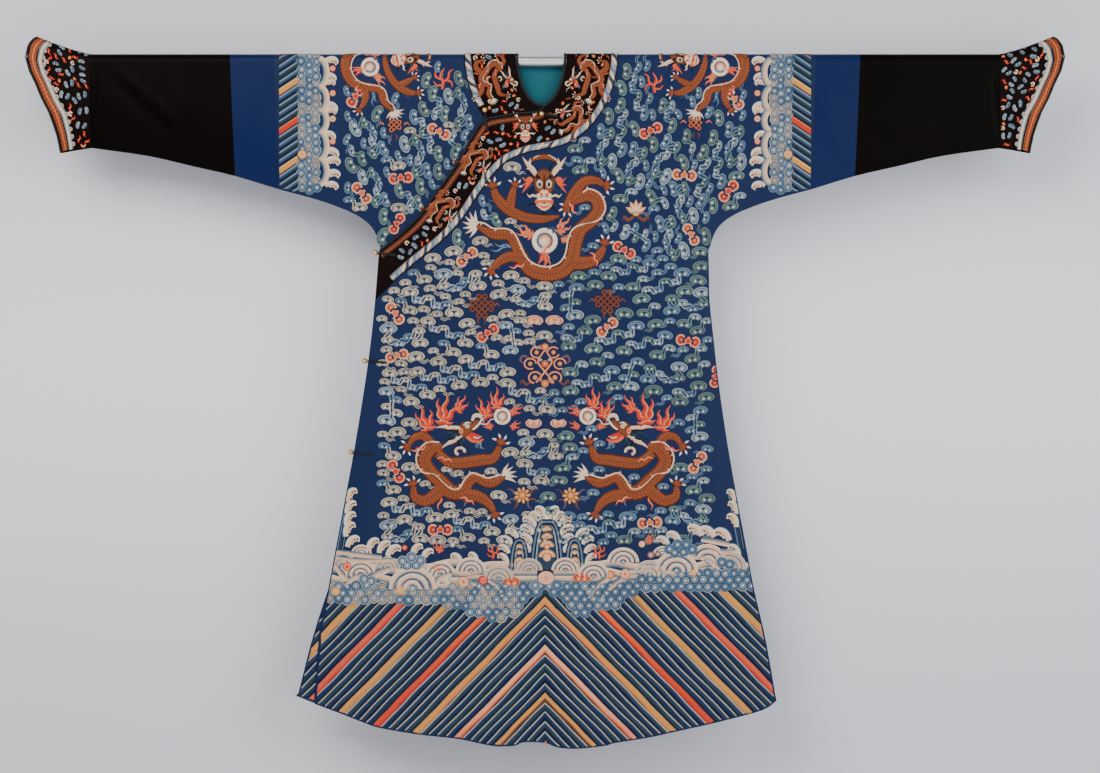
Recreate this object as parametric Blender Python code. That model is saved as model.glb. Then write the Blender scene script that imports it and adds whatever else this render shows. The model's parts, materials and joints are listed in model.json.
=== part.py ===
"""Chinese court robe with dragons, hung flat on a rod through its sleeves.

Every panel is cut on one flat plane, as a tailor would lay out the cloth. On that plane x runs
across the robe (wearer's right is negative) and v runs over the rod: 0 along the top of the rod,
negative down the front, positive down the back. drape() then hangs a point of the plane on the
rod, and each panel becomes a thin wall between an inner and an outer lift above the hollow.
The origin is the middle of the rod's axis; the front faces -Y. Lengths are metres, and tables
are in millimetres.
"""
import math

import bpy
from mathutils import Vector
from mathutils.geometry import delaunay_2d_cdt

MM = 0.001
FRONT, BACK = -1, 1

# Rod through the sleeves, and the bend of the cloth over it
ROD_RADIUS = 0.012
ROD_HALF_LENGTH = 0.905
BEND_RADIUS = 0.0126
QUARTER = 0.5 * math.pi * BEND_RADIUS
ROD_ROWS = 4

# Cloth walls: lift of the inner and outer face above the hollow
SATIN = (0.0, 0.0020)
OVERLAP = (0.0023, 0.0043)
BORDER = (0.0023, 0.0035)
OVERLAP_BORDER = (0.0046, 0.0058)
LINING = (-0.0013, -0.0003)
LAP_LIFT = 0.0023
HALF_SEAM = 0.00015
SEAM_GAP = 0.0003

# Hollow between front and back
HOLLOW_TOP = BEND_RADIUS
HOLLOW_HEM = 0.015
HOLLOW_EASE = 0.150
SLIT_TOP = 1.070
SLIT_OPEN = 0.002

GRID_X = 0.046
GRID_DROP = 0.052
HEM_DEPTH = 1.384

# Sleeve seams: half-width on top of the rod and at the bottom of the sleeve, and depth there
BODY_END = (0.550, 0.540, 0.260)
BAND_END = (0.639, 0.629, 0.233)
SLEEVE_END = (0.921, 0.921, 0.176)

# columns: half-width, drop below the rod's axis, along the bottom of the sleeve to the armpit
UNDERARM = ((921, 176), (807, 192), (720, 212), (629, 233), (540, 260), (480, 276), (430, 292),
            (385, 311), (357, 331), (343, 352), (335, 376))
# columns: drop, half-width on the wearer's right, half-width on the wearer's left
SIDE = ((388, 337, 332), (436, 341, 333), (485, 345, 334), (570, 354, 343), (650, 365, 352),
        (780, 386, 371), (910, 410, 394), (1000, 427, 411), (1070, 440, 424), (1160, 457, 445),
        (1235, 463, 459), (1304, 467, 470))
# columns: drop, how far the back's right edge shows beyond the front's
BACK_FLARE = ((1070, 0), (1160, 12), (1235, 26), (1304, 39))
# columns: x, drop of the hem
HEM = ((-506, 1288), (-467, 1304), (-416, 1322), (-371, 1339), (-333, 1351), (-254, 1365),
       (-210, 1370), (-168, 1375), (-108, 1387), (-63, 1387), (-43, 1380), (0, 1382), (22, 1390),
       (53, 1393), (90, 1391), (124, 1387), (142, 1382), (207, 1372), (286, 1354), (365, 1336),
       (442, 1316), (470, 1297))
INNER_HEM_RISE = 0.013
# columns: x, drop of the edge that laps over to the wearer's right
LAP_EDGE = ((-4, 100), (-16, 106), (-40, 108), (-63, 110), (-114, 119), (-134, 136),
            (-152, 166), (-170, 201), (-191, 231), (-221, 273), (-255, 319), (-289, 351),
            (-337, 388))
# columns: x, drop of the lower edge of the dragon border sewn on that lap
LAP_BORDER_EDGE = ((-33, 186), (-75, 203), (-108, 235), (-138, 277), (-170, 325),
                   (-210, 367), (-261, 408), (-298, 440), (-345, 485))
# Inner front panel: its free edge past the centre, and where its neckline reaches that edge
INNER_EDGE_X = 0.030
INNER_EDGE_DROP = 0.160

# Neck hole and the outer edge of its border, measured along the cloth behind and as a drop in front
NECK_X = -0.008
NECK_HALF_WIDTH = 0.052
NECK_FRONT_DROP = 0.0927
NECK_BACK_REACH = 0.025
BORDER_HALF_WIDTH = 0.157
BORDER_FRONT_DROP = 0.180
BORDER_BACK_REACH = 0.119
NECK_POINTS = 28
LINING_X = (-0.100, 0.084)
LINING_DROP = (0.0115, 0.150)

# columns: x and drop at the top of a fold, x and drop at its foot, reach there towards the
# viewer, half-width; all grow from nothing at the top
FOLDS = ((-60, 900, -85, 1390, 5.0, 60), (55, 850, 72, 1393, 5.0, 60),
         (-250, 800, -330, 1350, 4.0, 72), (240, 800, 320, 1345, 4.0, 72),
         (-5, 950, -10, 1385, -4.0, 46), (-160, 850, -210, 1372, -4.0, 70),
         (150, 850, 190, 1376, -4.0, 70))

# Cuff: columns: share of the way from the top fold to the bottom, half-width, height
CUFF_EDGE = ((0.00, 1030, 48), (0.06, 1039, 41), (0.12, 1046, 30), (0.22, 1050, 8),
             (0.33, 1043, -18), (0.45, 1030, -45), (0.55, 1018, -74), (0.65, 1003, -103),
             (0.75, 994, -128), (0.85, 987, -150), (0.93, 983, -170), (1.00, 981, -185))
CUFF_WALL = 0.0020
CUFF_MOUTH = 0.013
CUFF_STEPS = 4
CUFF_FLARE = 1.25

# Trims and fastenings
NECK_PIPING = 0.0025
NECK_PIPING_LIFT = 0.0025
LAP_PIPING = 0.0018
LAP_PIPING_LIFT = 0.0056
CUFF_PIPING = 0.0018
BALL_RADIUS = 0.0057
SHANK_RADIUS = 0.0019
CORD_RADIUS = 0.0012
SHANK_RISE = 0.0042
# columns: name, ball x, ball drop, lift of the surface under its shank, tail x, tail drop, lift of
# the surface under the tail, lift that the cord clears on its way
BUTTONS = (("neck", -7, 109, 5.8, 26, 113, 5.8, 5.8),
           ("shoulder", -122, 101, 3.5, -117, 143, 5.8, 7.4),
           ("underarm", -344, 389, 5.8, -302, 394, 5.8, 5.8),
           ("side_upper", -366, 608, 4.3, -322, 612, 4.3, 4.3),
           ("side_lower", -394, 793, 4.3, -350, 797, 4.3, 4.3))

# columns: finish name, colour, metallic, roughness
FINISHES = {
    "satin_blue": ((0.020, 0.052, 0.180), 0.0, 0.50),
    "satin_black": ((0.012, 0.009, 0.010), 0.0, 0.55),
    "satin_royal": ((0.018, 0.060, 0.260), 0.0, 0.45),
    "satin_brown": ((0.016, 0.009, 0.008), 0.0, 0.50),
    "lining_teal": ((0.020, 0.150, 0.200), 0.0, 0.60),
    "cord_black": ((0.008, 0.007, 0.008), 0.0, 0.70),
    "gilt_brass": ((0.800, 0.480, 0.160), 1.0, 0.30),
    "rod_metal": ((0.720, 0.690, 0.680), 1.0, 0.32),
}


def lerp(a, b, t):
    return a + (b - a) * t


def smooth(t):
    t = min(max(t, 0.0), 1.0)
    return t * t * (3.0 - 2.0 * t)


def look_up(table, key, column, key_column=0):
    """Value of a column at a key, straight between the rows of a rising table, in metres."""
    rows = [(r[key_column] * MM, r[column] * MM) for r in table]
    if key <= rows[0][0]:
        return rows[0][1]
    for (k0, c0), (k1, c1) in zip(rows, rows[1:]):
        if key <= k1:
            return lerp(c0, c1, (key - k0) / (k1 - k0))
    return rows[-1][1]


def plane(x, drop, face):
    """Point of the cutting plane for a place that hangs this far below the rod's axis."""
    return (x, face * (QUARTER + drop))


def to_segment(px, py, ax, ay, bx, by):
    """Distance to a segment, and the share of the way along it."""
    dx, dy = bx - ax, by - ay
    t = min(max(((px - ax) * dx + (py - ay) * dy) / (dx * dx + dy * dy), 0.0), 1.0)
    return math.hypot(px - ax - dx * t, py - ay - dy * t), t


SEAM_LINES = {
    side: [(w * MM, d * MM) for w, d in UNDERARM] + [(row[col] * MM, row[0] * MM) for row in SIDE]
    for side, col in ((-1, 1), (1, 2))
}


def seam_distance(x, drop):
    """Distance to the seam under the arm and down the side; nothing beyond the front's edge."""
    side = -1 if x < 0 else 1
    if drop > SIDE[0][0] * MM and abs(x) >= look_up(SIDE, drop, 1 if side < 0 else 2):
        return 0.0
    line = SEAM_LINES[side]
    return min(to_segment(abs(x), drop, *a, *b)[0] for a, b in zip(line, line[1:]))


def half_gap(x, drop):
    """Half of the hollow between the inner faces of front and back."""
    middle = lerp(HOLLOW_TOP, HOLLOW_HEM, drop / HEM_DEPTH)
    edge = HALF_SEAM + SLIT_OPEN * smooth((drop - SLIT_TOP) / (HEM_DEPTH - SLIT_TOP))
    t = min(seam_distance(x, drop) / HOLLOW_EASE, 1.0)
    return edge + (middle - edge) * t * (2.0 - t)


def sway(x, drop):
    """How far the folds carry both layers towards the viewer."""
    total = 0.0
    for x0, d0, x1, d1, reach, width in FOLDS:
        away, along = to_segment(x / MM, drop / MM, x0, d0, x1, d1)
        total += reach * smooth(1.0 - away / width) * smooth(along)
    return total * MM * smooth(seam_distance(x, drop) / 0.080)


def lap(x, v):
    """Extra lift of the left front where it lies over the inner panel, easing out sideways."""
    drop = -v - QUARTER
    if x < 0 or drop <= 0:
        return 0.0
    return LAP_LIFT * smooth(drop / 0.085) * (1.0 - smooth((x - 0.040) / 0.120))


def drape(x, v, lift):
    """Place in space of a point of the cutting plane, this far outside the hollow."""
    if abs(v) <= QUARTER:
        a = v / BEND_RADIUS
        r = BEND_RADIUS + lift
        return Vector((x, r * math.sin(a), r * math.cos(a)))
    face = BACK if v > 0 else FRONT
    drop = abs(v) - QUARTER
    return Vector((x, face * (half_gap(x, drop) + lift) - sway(x, drop), -drop))


def ring(half_width, front_reach, back_reach):
    """Closed curve round the neck on the cutting plane, starting at the front centre seam."""
    points = []
    for i in range(NECK_POINTS):
        a = math.asin(NECK_X / half_width) + 2.0 * math.pi * i / NECK_POINTS
        reach = front_reach if math.cos(a) > 0 else back_reach
        points.append((NECK_X - half_width * math.sin(a), -reach * math.cos(a)))
    return points


def seam_across(end, side):
    """A sleeve seam on the cutting plane, from front to back."""
    top, bottom, drop = end
    return [(side * lerp(bottom, top, 1.0 - abs(k) / 3.0), k / 3.0 * (QUARTER + drop))
            for k in range(-3, 4)]


def side_edge(side, face):
    """Edge of the robe from the sleeve's end down to the hem's corner."""
    points = [plane(side * w * MM, d * MM, face) for w, d in UNDERARM]
    for row in SIDE:
        flare = look_up(BACK_FLARE, row[0] * MM, 1) if side < 0 and face == BACK else 0.0
        x = side * (row[1 if side < 0 else 2] * MM + flare)
        points.append(plane(x, min(row[0] * MM, look_up(HEM, x, 1)), face))
    return points


def hem_edge(face, rise=0.0):
    first = 0 if face == BACK else 1
    return [plane(x * MM, d * MM - rise, face) for x, d in HEM[first:]]


def inside(polygon, x, v):
    hit = False
    for (x0, v0), (x1, v1) in zip(polygon, polygon[1:] + polygon[:1]):
        if (v0 > v) != (v1 > v) and x < x0 + (v - v0) / (v1 - v0) * (x1 - x0):
            hit = not hit
    return hit


def rising(points, v):
    """x of a line that runs from front to back, at a given v."""
    for (x0, v0), (x1, v1) in zip(points, points[1:]):
        if v0 <= v <= v1:
            return lerp(x0, x1, (v - v0) / (v1 - v0))
    return points[0][0] if v < points[0][1] else points[-1][0]


# Outlines on the cutting plane
NECK_HOLE = ring(NECK_HALF_WIDTH, NECK_FRONT_DROP + QUARTER, NECK_BACK_REACH)
BORDER_RING = ring(BORDER_HALF_WIDTH, BORDER_FRONT_DROP + QUARTER, BORDER_BACK_REACH)
NECK_CENTRE = NECK_HOLE[0]
GARMENT = (side_edge(1, FRONT)[::-1] + side_edge(1, BACK) + hem_edge(BACK)[::-1][1:-1]
           + side_edge(-1, BACK)[::-1] + side_edge(-1, FRONT) + hem_edge(FRONT)[1:-1])
LAP_LINE = [NECK_CENTRE] + [plane(x * MM, d * MM, FRONT) for x, d in LAP_EDGE]
LAP_BORDER_LINE = BORDER_RING[:1] + [plane(x * MM, d * MM, FRONT) for x, d in LAP_BORDER_EDGE]
RIGHT_FRONT_SIDE = side_edge(-1, FRONT)[len(UNDERARM):]
OVERLAP_AREA = LAP_LINE + RIGHT_FRONT_SIDE[1:] + [p for p in hem_edge(FRONT) if -0.467 < p[0] <= 0]
LAP_BORDER_AREA = (LAP_LINE + [p for p in RIGHT_FRONT_SIDE[1:] if p[1] > LAP_BORDER_LINE[-1][1]]
                   + LAP_BORDER_LINE[::-1])
INNER_LAP_AREA = [NECK_CENTRE, plane(INNER_EDGE_X, INNER_EDGE_DROP, FRONT),
                  plane(INNER_EDGE_X, 1.45, FRONT), plane(0.0, 1.45, FRONT)]
BORDER_END = [NECK_HOLE[0], NECK_HOLE[1], LAP_LINE[1]]
INNER_HEM = hem_edge(FRONT, INNER_HEM_RISE)
LINING_AREA = [plane(LINING_X[i], LINING_DROP[j], BACK) for i, j in ((0, 0), (1, 0), (1, 1), (0, 1))]
SEAMS = {(end, side): seam_across(end, side) for end in (BODY_END, BAND_END) for side in (-1, 1)}


def beyond(end, side, x, v):
    """Whether a place lies beyond a sleeve seam."""
    return side * x > side * rising(SEAMS[(end, side)], v)


def on_garment(x, v):
    return inside(GARMENT, x, v) and not inside(NECK_HOLE, x, v)


def on_body(x, v):
    return on_garment(x, v) and not beyond(BODY_END, 1, x, v) and not beyond(BODY_END, -1, x, v)


def inner_front(x, v):
    above_hem = v > rising([(a, b) for b, a in INNER_HEM], x)
    return above_hem and (x < 0 or inside(INNER_LAP_AREA, x, v))


def on_right_body(x, v):
    return on_body(x, v) and (x < 0 if v > -QUARTER else inner_front(x, v))


def on_left_body(x, v):
    return on_body(x, v) and x > 0


def on_overlap(x, v):
    return on_body(x, v) and inside(OVERLAP_AREA, x, v)


def on_lap_border(x, v):
    return on_overlap(x, v) and inside(LAP_BORDER_AREA, x, v)


def on_neck_border(x, v):
    return (on_body(x, v) and inside(BORDER_RING, x, v) and not inside(OVERLAP_AREA, x, v)
            and not inside(BORDER_END, x, v))


def on_band(side):
    return lambda x, v: on_garment(x, v) and beyond(BODY_END, side, x, v) and not beyond(
        BAND_END, side, x, v)


def on_extension(side):
    return lambda x, v: on_garment(x, v) and beyond(BAND_END, side, x, v)


def on_lining(x, v):
    return inside(LINING_AREA, x, v)


def cutting_lines():
    """Every line that a panel is cut along, with the rows where the cloth bends over the rod."""
    lines = [GARMENT + GARMENT[:1], NECK_HOLE + NECK_HOLE[:1], BORDER_RING + BORDER_RING[:1],
             LAP_LINE, LAP_BORDER_LINE, BORDER_END[1:], INNER_LAP_AREA + INNER_LAP_AREA[:1], INNER_HEM,
             LINING_AREA + LINING_AREA[:1]] + list(SEAMS.values())
    drops = [GRID_DROP * k for k in range(28)]
    lines.append([NECK_CENTRE] + [plane(0.0, d, FRONT) for d in drops if d > 0.12])
    lines.append([(0.0, NECK_BACK_REACH * 0.9)] + [plane(0.0, d, BACK) for d in drops if d > 0.02])
    for row in range(-ROD_ROWS, ROD_ROWS + 1):
        v = QUARTER * row / ROD_ROWS
        lines.append([(GRID_X * 2 * k, v) for k in range(-11, 12)])
    return lines


def cut_cloth():
    """One triangulation of the cutting plane that all the panels share."""
    points, edges, segments = [], [], []
    for line in cutting_lines():
        first = len(points)
        points += [Vector(p) for p in line]
        edges += [(first + i, first + i + 1) for i in range(len(line) - 1)]
        segments += list(zip(line, line[1:]))
    for face in (FRONT, BACK):
        for row in range(1, 28):
            for col in range(-20, 21):
                x, v = plane(GRID_X * col, GRID_DROP * row, face)
                if inside(GARMENT, x, v) and all(
                        to_segment(x, v, *a, *b)[0] > 0.014 for a, b in segments):
                    points.append(Vector((x, v)))
    verts, _, faces, *_ = delaunay_2d_cdt(points, edges, [], 0, 1e-6)
    verts = [(p.x, p.y) for p in verts]
    out = []
    for face in faces:
        a, b, c = (verts[i] for i in face)
        turn = (b[0] - a[0]) * (c[1] - a[1]) - (b[1] - a[1]) * (c[0] - a[0])
        if abs(turn) > 1e-9:
            out.append(tuple(face) if turn > 0 else tuple(face)[::-1])
    return verts, out


def inset_edges(verts, faces):
    """Boundary edges of a panel, and each boundary point moved half a seam gap inwards."""
    used = {}
    for face in faces:
        for i in range(3):
            used[(face[i], face[(i + 1) % 3])] = True
    edges = [e for e in used if (e[1], e[0]) not in used]
    normals = {}
    for a, b in edges:
        dx, dv = verts[b][0] - verts[a][0], verts[b][1] - verts[a][1]
        size = math.hypot(dx, dv)
        for p in (a, b):
            normals.setdefault(p, []).append((-dv / size, dx / size))
    moved = {}
    for p, ns in normals.items():
        nx, nv = sum(n[0] for n in ns), sum(n[1] for n in ns)
        scale = HALF_SEAM * len(ns) / max(nx * nx + nv * nv, 0.5)
        moved[p] = (verts[p][0] + nx * scale, verts[p][1] + nv * scale)
    return edges, moved


def finish(name, verts, faces, slot, sharp=50.0):
    """Mesh, object and finish of one piece."""
    mesh = bpy.data.meshes.new(name)
    mesh.from_pydata([tuple(v) for v in verts], [], faces)
    mesh.validate()
    mesh.update()
    mesh.polygons.foreach_set("use_smooth", [True] * len(mesh.polygons))
    mesh.set_sharp_from_angle(angle=math.radians(sharp))
    mesh.materials.append(material(slot))
    obj = bpy.data.objects.new(name, mesh)
    bpy.context.scene.collection.objects.link(obj)
    return obj


def material(slot):
    if slot in bpy.data.materials:
        return bpy.data.materials[slot]
    colour, metallic, roughness = FINISHES[slot]
    mat = bpy.data.materials.new(slot)
    mat.use_nodes = True
    shader = next(n for n in mat.node_tree.nodes if n.type == "BSDF_PRINCIPLED")
    shader.inputs["Base Color"].default_value = (*colour, 1.0)
    shader.inputs["Metallic"].default_value = metallic
    shader.inputs["Roughness"].default_value = roughness
    return mat


def panel(name, cut, member, wall, slot, lapped=False):
    """Cloth wall over the part of the cutting plane that belongs to one panel."""
    verts, faces = cut
    mine = []
    for face in faces:
        x = sum(verts[i][0] for i in face) / 3.0
        v = sum(verts[i][1] for i in face) / 3.0
        if member(x, v):
            mine.append(face)
    edges, moved = inset_edges(verts, mine)
    order = {p: i for i, p in enumerate(sorted({i for face in mine for i in face}))}
    count = len(order)
    places = []
    for lift in wall:
        for p in order:
            x, v = moved.get(p, verts[p])
            places.append(drape(x, v, lift + (lap(x, v) if lapped else 0.0)))
    skin = []
    for a, b, c in mine:
        a, b, c = order[a], order[b], order[c]
        skin.append((a + count, b + count, c + count))
        skin.append((c, b, a))
    for a, b in edges:
        a, b = order[a], order[b]
        skin.append((a, b, b + count, a + count))
    return finish(name, places, skin, slot)


def tube(name, path, radius, slot, sides=6):
    """Round cord along a path, closed at both ends."""
    rings, faces = [], []
    count = len(path)
    side = None
    for i, p in enumerate(path):
        along = (path[min(i + 1, count - 1)] - path[max(i - 1, 0)]).normalized()
        if side is None:
            side = along.cross(Vector((0.0, 1.0, 0.0)))
            if side.length < 0.1:
                side = along.cross(Vector((1.0, 0.0, 0.0)))
        side = (side - along * side.dot(along)).normalized()
        other = along.cross(side)
        for k in range(sides):
            a = 2.0 * math.pi * k / sides
            rings.append(p + side * (radius * math.cos(a)) + other * (radius * math.sin(a)))
    for i in range(count - 1):
        for k in range(sides):
            a, b = i * sides + k, i * sides + (k + 1) % sides
            faces.append((a, b, b + sides, a + sides))
    faces.append(tuple(range(sides))[::-1])
    faces.append(tuple(range((count - 1) * sides, count * sides)))
    return finish(name, rings, faces, slot, sharp=70.0)


def beside(line, distance, closed=False):
    """A line of the cutting plane moved to its left by the same distance everywhere."""
    out = []
    count = len(line)
    for i, (x, v) in enumerate(line):
        spans = []
        for j in (i - 1, i):
            if closed or 0 <= j < count - 1:
                (ax, av), (bx, bv) = line[j % count], line[(j + 1) % count]
                size = math.hypot(bx - ax, bv - av)
                spans.append((-(bv - av) / size, (bx - ax) / size))
        nx, nv = sum(n[0] for n in spans), sum(n[1] for n in spans)
        scale = distance * len(spans) / (nx * nx + nv * nv)
        out.append((x + nx * scale, v + nv * scale))
    return out


def bend_points(line):
    """A line of the cutting plane with a point wherever it crosses a row of the bend."""
    out = [line[0]]
    for (x0, v0), (x1, v1) in zip(line, line[1:]):
        rows = [QUARTER * row / ROD_ROWS for row in range(-ROD_ROWS, ROD_ROWS + 1)]
        cuts = sorted((row - v0) / (v1 - v0) for row in rows if min(v0, v1) < row < max(v0, v1))
        out += [(lerp(x0, x1, t), lerp(v0, v1, t)) for t in cuts if 0.04 < t < 0.96] + [(x1, v1)]
    return out


def neck_piping():
    """Piping inside the neck hole, from one side of the front centre round to the other."""
    line = beside(NECK_HOLE, -(HALF_SEAM + NECK_PIPING), closed=True)
    first, second, last = line[0], line[1], line[-1]
    line[0] = (lerp(first[0], second[0], 0.12), lerp(first[1], second[1], 0.12))
    line.append((lerp(last[0], first[0], 0.88), lerp(last[1], first[1], 0.88)))
    path = [drape(x, v, NECK_PIPING_LIFT + lap(x, v)) for x, v in bend_points(line)]
    return tube("neck_binding", path, NECK_PIPING, "cord_black", sides=6)


def lap_piping():
    """Piping just off the lapping edge, from the neck to the armpit."""
    line = beside(LAP_LINE, -(HALF_SEAM + LAP_PIPING))[1:]
    fine = []
    for (x0, v0), (x1, v1) in zip(line, line[1:]):
        fine += [(lerp(x0, x1, t), lerp(v0, v1, t)) for t in (0.0, 0.5)]
    fine.append((lerp(line[-2][0], line[-1][0], 0.9), lerp(line[-2][1], line[-1][1], 0.9)))
    return tube("overlap_binding", [drape(x, v, LAP_PIPING_LIFT) for x, v in fine],
                LAP_PIPING, "cord_black", sides=6)


def cuff_sections(side):
    """Rows of the cuff from its seam to its mouth, each from back bottom over the fold to front."""
    stations = [0.0, 0.02, 0.045, 0.075] + [row[0] for row in CUFF_EDGE[2:]]
    around = [-w for w in stations[:0:-1]] + stations
    seam_x = SLEEVE_END[0] + HALF_SEAM
    rows = []
    for step in range(CUFF_STEPS + 1):
        u = step / CUFF_STEPS
        row = []
        for w in around:
            share = abs(w)
            face = BACK if w < 0 else FRONT
            start = drape(seam_x, face * share * (QUARTER + SLEEVE_END[2]), 0.0)
            mouth_x = look_up(CUFF_EDGE, share * MM, 1)
            mouth_z = look_up(CUFF_EDGE, share * MM, 2)
            mouth_y = face * (HALF_SEAM + CUFF_MOUTH * math.sqrt(max(math.sin(math.pi * share), 0.0))
                              if 0.0 < share < 1.0 else HALF_SEAM * (share > 0.5))
            rise = u ** CUFF_FLARE
            row.append(Vector((side * lerp(seam_x, mouth_x, u), lerp(start.y, mouth_y, u),
                               lerp(start.z, mouth_z, rise))))
        rows.append(row)
    return rows


def outward(row, i, sign):
    """Direction square to a row of the cuff, kept in the upright plane across the sleeve."""
    along = row[min(i + 1, len(row) - 1)] - row[max(i - 1, 0)]
    return Vector((0.0, along.z, -along.y)).normalized() * sign


def cuff(name, side):
    rows = cuff_sections(side)
    across = len(rows[0])
    inner = [p for row in rows for p in row]
    outer = [p + outward(row, i, 1.0) * CUFF_WALL for row in rows for i, p in enumerate(row)]
    faces = []
    count = len(inner)
    for r in range(len(rows) - 1):
        for i in range(across - 1):
            a = r * across + i
            quad = (a, a + 1, a + 1 + across, a + across)
            faces.append(tuple(p + count for p in quad))
            faces.append(quad[::-1])
    rim = ([i for i in range(across)] + [r * across + across - 1 for r in range(1, len(rows))]
           + [(len(rows) - 1) * across + i for i in range(across - 2, -1, -1)]
           + [r * across for r in range(len(rows) - 2, 0, -1)])
    for a, b in zip(rim, rim[1:] + rim[:1]):
        faces.append((a, b, b + count, a + count))
    if side < 0:
        faces = [f[::-1] for f in faces]
    return finish(name, inner + outer, faces, "satin_black")


def cuff_piping(name, side):
    """Piping just off the cuff's mouth."""
    row = cuff_sections(side)[-1]
    path = []
    for i, p in enumerate(row):
        along = row[min(i + 1, len(row) - 1)] - row[max(i - 1, 0)]
        out = Vector((side, 0.0, 0.0))
        out = (out - along * (out.dot(along) / along.length_squared)).normalized()
        place = p + outward(row, i, 1.0) * (0.5 * CUFF_WALL) + out * (SEAM_GAP + CUFF_PIPING)
        if place.z < -0.1:
            place.y = math.copysign(max(abs(place.y), CUFF_PIPING + SEAM_GAP), place.y)
        path.append(place)
    return tube(name, path, CUFF_PIPING, "cord_black", sides=6)


def button(name, x, drop, lift):
    """Ball on a short shank that stands square on the front."""
    steps = 12
    foot = drape(x, -(QUARTER + drop), lift)
    rise = SHANK_RISE
    centre = rise + math.sqrt(BALL_RADIUS ** 2 - SHANK_RADIUS ** 2)
    profile = [(SHANK_RADIUS, SEAM_GAP), (SHANK_RADIUS, rise)]
    start = math.asin(SHANK_RADIUS / BALL_RADIUS)
    profile += [(BALL_RADIUS * math.sin(a), centre - BALL_RADIUS * math.cos(a))
                for a in (lerp(start, math.pi, k / 7) for k in range(1, 7))]
    verts = [foot + Vector((r * math.cos(2 * math.pi * k / steps), -h,
                            r * math.sin(2 * math.pi * k / steps)))
             for r, h in profile for k in range(steps)]
    tip = foot + Vector((0.0, -(centre + BALL_RADIUS), 0.0))
    faces = [tuple(range(steps))[::-1]]
    for i in range(len(profile) - 1):
        for k in range(steps):
            a, b = i * steps + k, i * steps + (k + 1) % steps
            faces.append((a, b, b + steps, a + steps))
    last = (len(profile) - 1) * steps
    faces += [(last + k, last + (k + 1) % steps, len(verts)) for k in range(steps)]
    return finish(name, verts + [tip], faces, "gilt_brass", sharp=60.0)


def loop(name, x, drop, lift, tail_x, tail_drop, tail_lift, clear_lift):
    """Doubled cord from its sewn tails to a turn round the button's shank."""
    rest = SEAM_GAP + CORD_RADIUS
    ball_lift = lift + rest
    length = math.hypot(tail_x - x, tail_drop - drop) * MM
    ax, ad = (tail_x - x) * MM / length, (tail_drop - drop) * MM / length
    strand = CORD_RADIUS + 0.5 * SEAM_GAP
    turn = SHANK_RADIUS + SEAM_GAP + CORD_RADIUS + 0.0001
    meet = 0.0075
    path = []

    def at(along, across):
        h = ball_lift
        if clear_lift > lift:
            top = clear_lift + rest
            tail = tail_lift + rest
            h = lerp(ball_lift, top, smooth((along - 0.0075) / 0.007))
            h = lerp(h, tail, smooth((along - 0.028) / 0.010))
        px = x * MM + ax * along - ad * across
        pd = drop * MM + ad * along + ax * across
        base = drape(px, -(QUARTER + pd), 0.0)
        return Vector((base.x, base.y - h, base.z))

    stations = [length, length * 0.8, length * 0.6, 0.016, 0.011, meet]
    path += [at(s, strand) for s in stations]
    for k in range(9):
        a = lerp(0.9, 2.0 * math.pi - 0.9, k / 8)
        path.append(at(turn * math.cos(a), turn * math.sin(a)))
    path += [at(s, -strand) for s in stations[::-1]]
    return tube(name, path, CORD_RADIUS, "cord_black", sides=5)


def rod():
    steps = 32
    verts = [Vector((s * ROD_HALF_LENGTH, ROD_RADIUS * math.cos(2 * math.pi * k / steps),
                     ROD_RADIUS * math.sin(2 * math.pi * k / steps)))
             for s in (-1, 1) for k in range(steps)]
    faces = [tuple(range(steps))[::-1], tuple(range(steps, 2 * steps))]
    for k in range(steps):
        a, b = k, (k + 1) % steps
        faces.append((a, b, b + steps, a + steps))
    return finish("rod", verts, faces, "rod_metal", sharp=40.0)


def build():
    for obj in list(bpy.data.objects):
        bpy.data.objects.remove(obj, do_unlink=True)
    cut = cut_cloth()
    panel("right_body", cut, on_right_body, SATIN, "satin_blue")
    panel("left_body", cut, on_left_body, SATIN, "satin_blue", lapped=True)
    panel("overlap_front", cut, on_overlap, OVERLAP, "satin_blue")
    panel("neck_border", cut, on_neck_border, BORDER, "satin_black", lapped=True)
    panel("overlap_border", cut, on_lap_border, OVERLAP_BORDER, "satin_black")
    panel("neck_lining", cut, on_lining, LINING, "lining_teal")
    for side, hand in ((-1, "right"), (1, "left")):
        panel(hand + "_sleeve_band", cut, on_band(side), SATIN, "satin_royal")
        panel(hand + "_sleeve_extension", cut, on_extension(side), SATIN, "satin_brown")
        cuff(hand + "_cuff", side)
        cuff_piping(hand + "_cuff_binding", side)
    neck_piping()
    lap_piping()
    for name, x, drop, lift, tail_x, tail_drop, tail_lift, clear in BUTTONS:
        button("button_" + name, x * MM, drop * MM, lift * MM)
        loop("loop_" + name, x, drop, lift * MM, tail_x, tail_drop, tail_lift * MM, clear * MM)
    rod()


build()
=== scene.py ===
"""Dresses a Chinese court robe that hangs flat on a rod, with its satin, borders and needlework.

Cloth and needlework are drawn on the flat plane that the robe was cut from. There x runs across
the robe (the wearer's left is positive) and v runs over the rod: 0 on top of it, negative down
the front, positive down the back. hang() carries a point of that plane to its place in space.
Needlework is drawn upright, as someone facing that side of the robe sees it. Tables are in
millimetres, everything else in metres.
"""
import json
import math

import bpy
import numpy as np
from bpy.props import FloatProperty, FloatVectorProperty, IntProperty, PointerProperty
from bpy.types import Operator, Panel, PropertyGroup
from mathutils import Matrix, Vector
from mathutils.geometry import delaunay_2d_cdt

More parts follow.
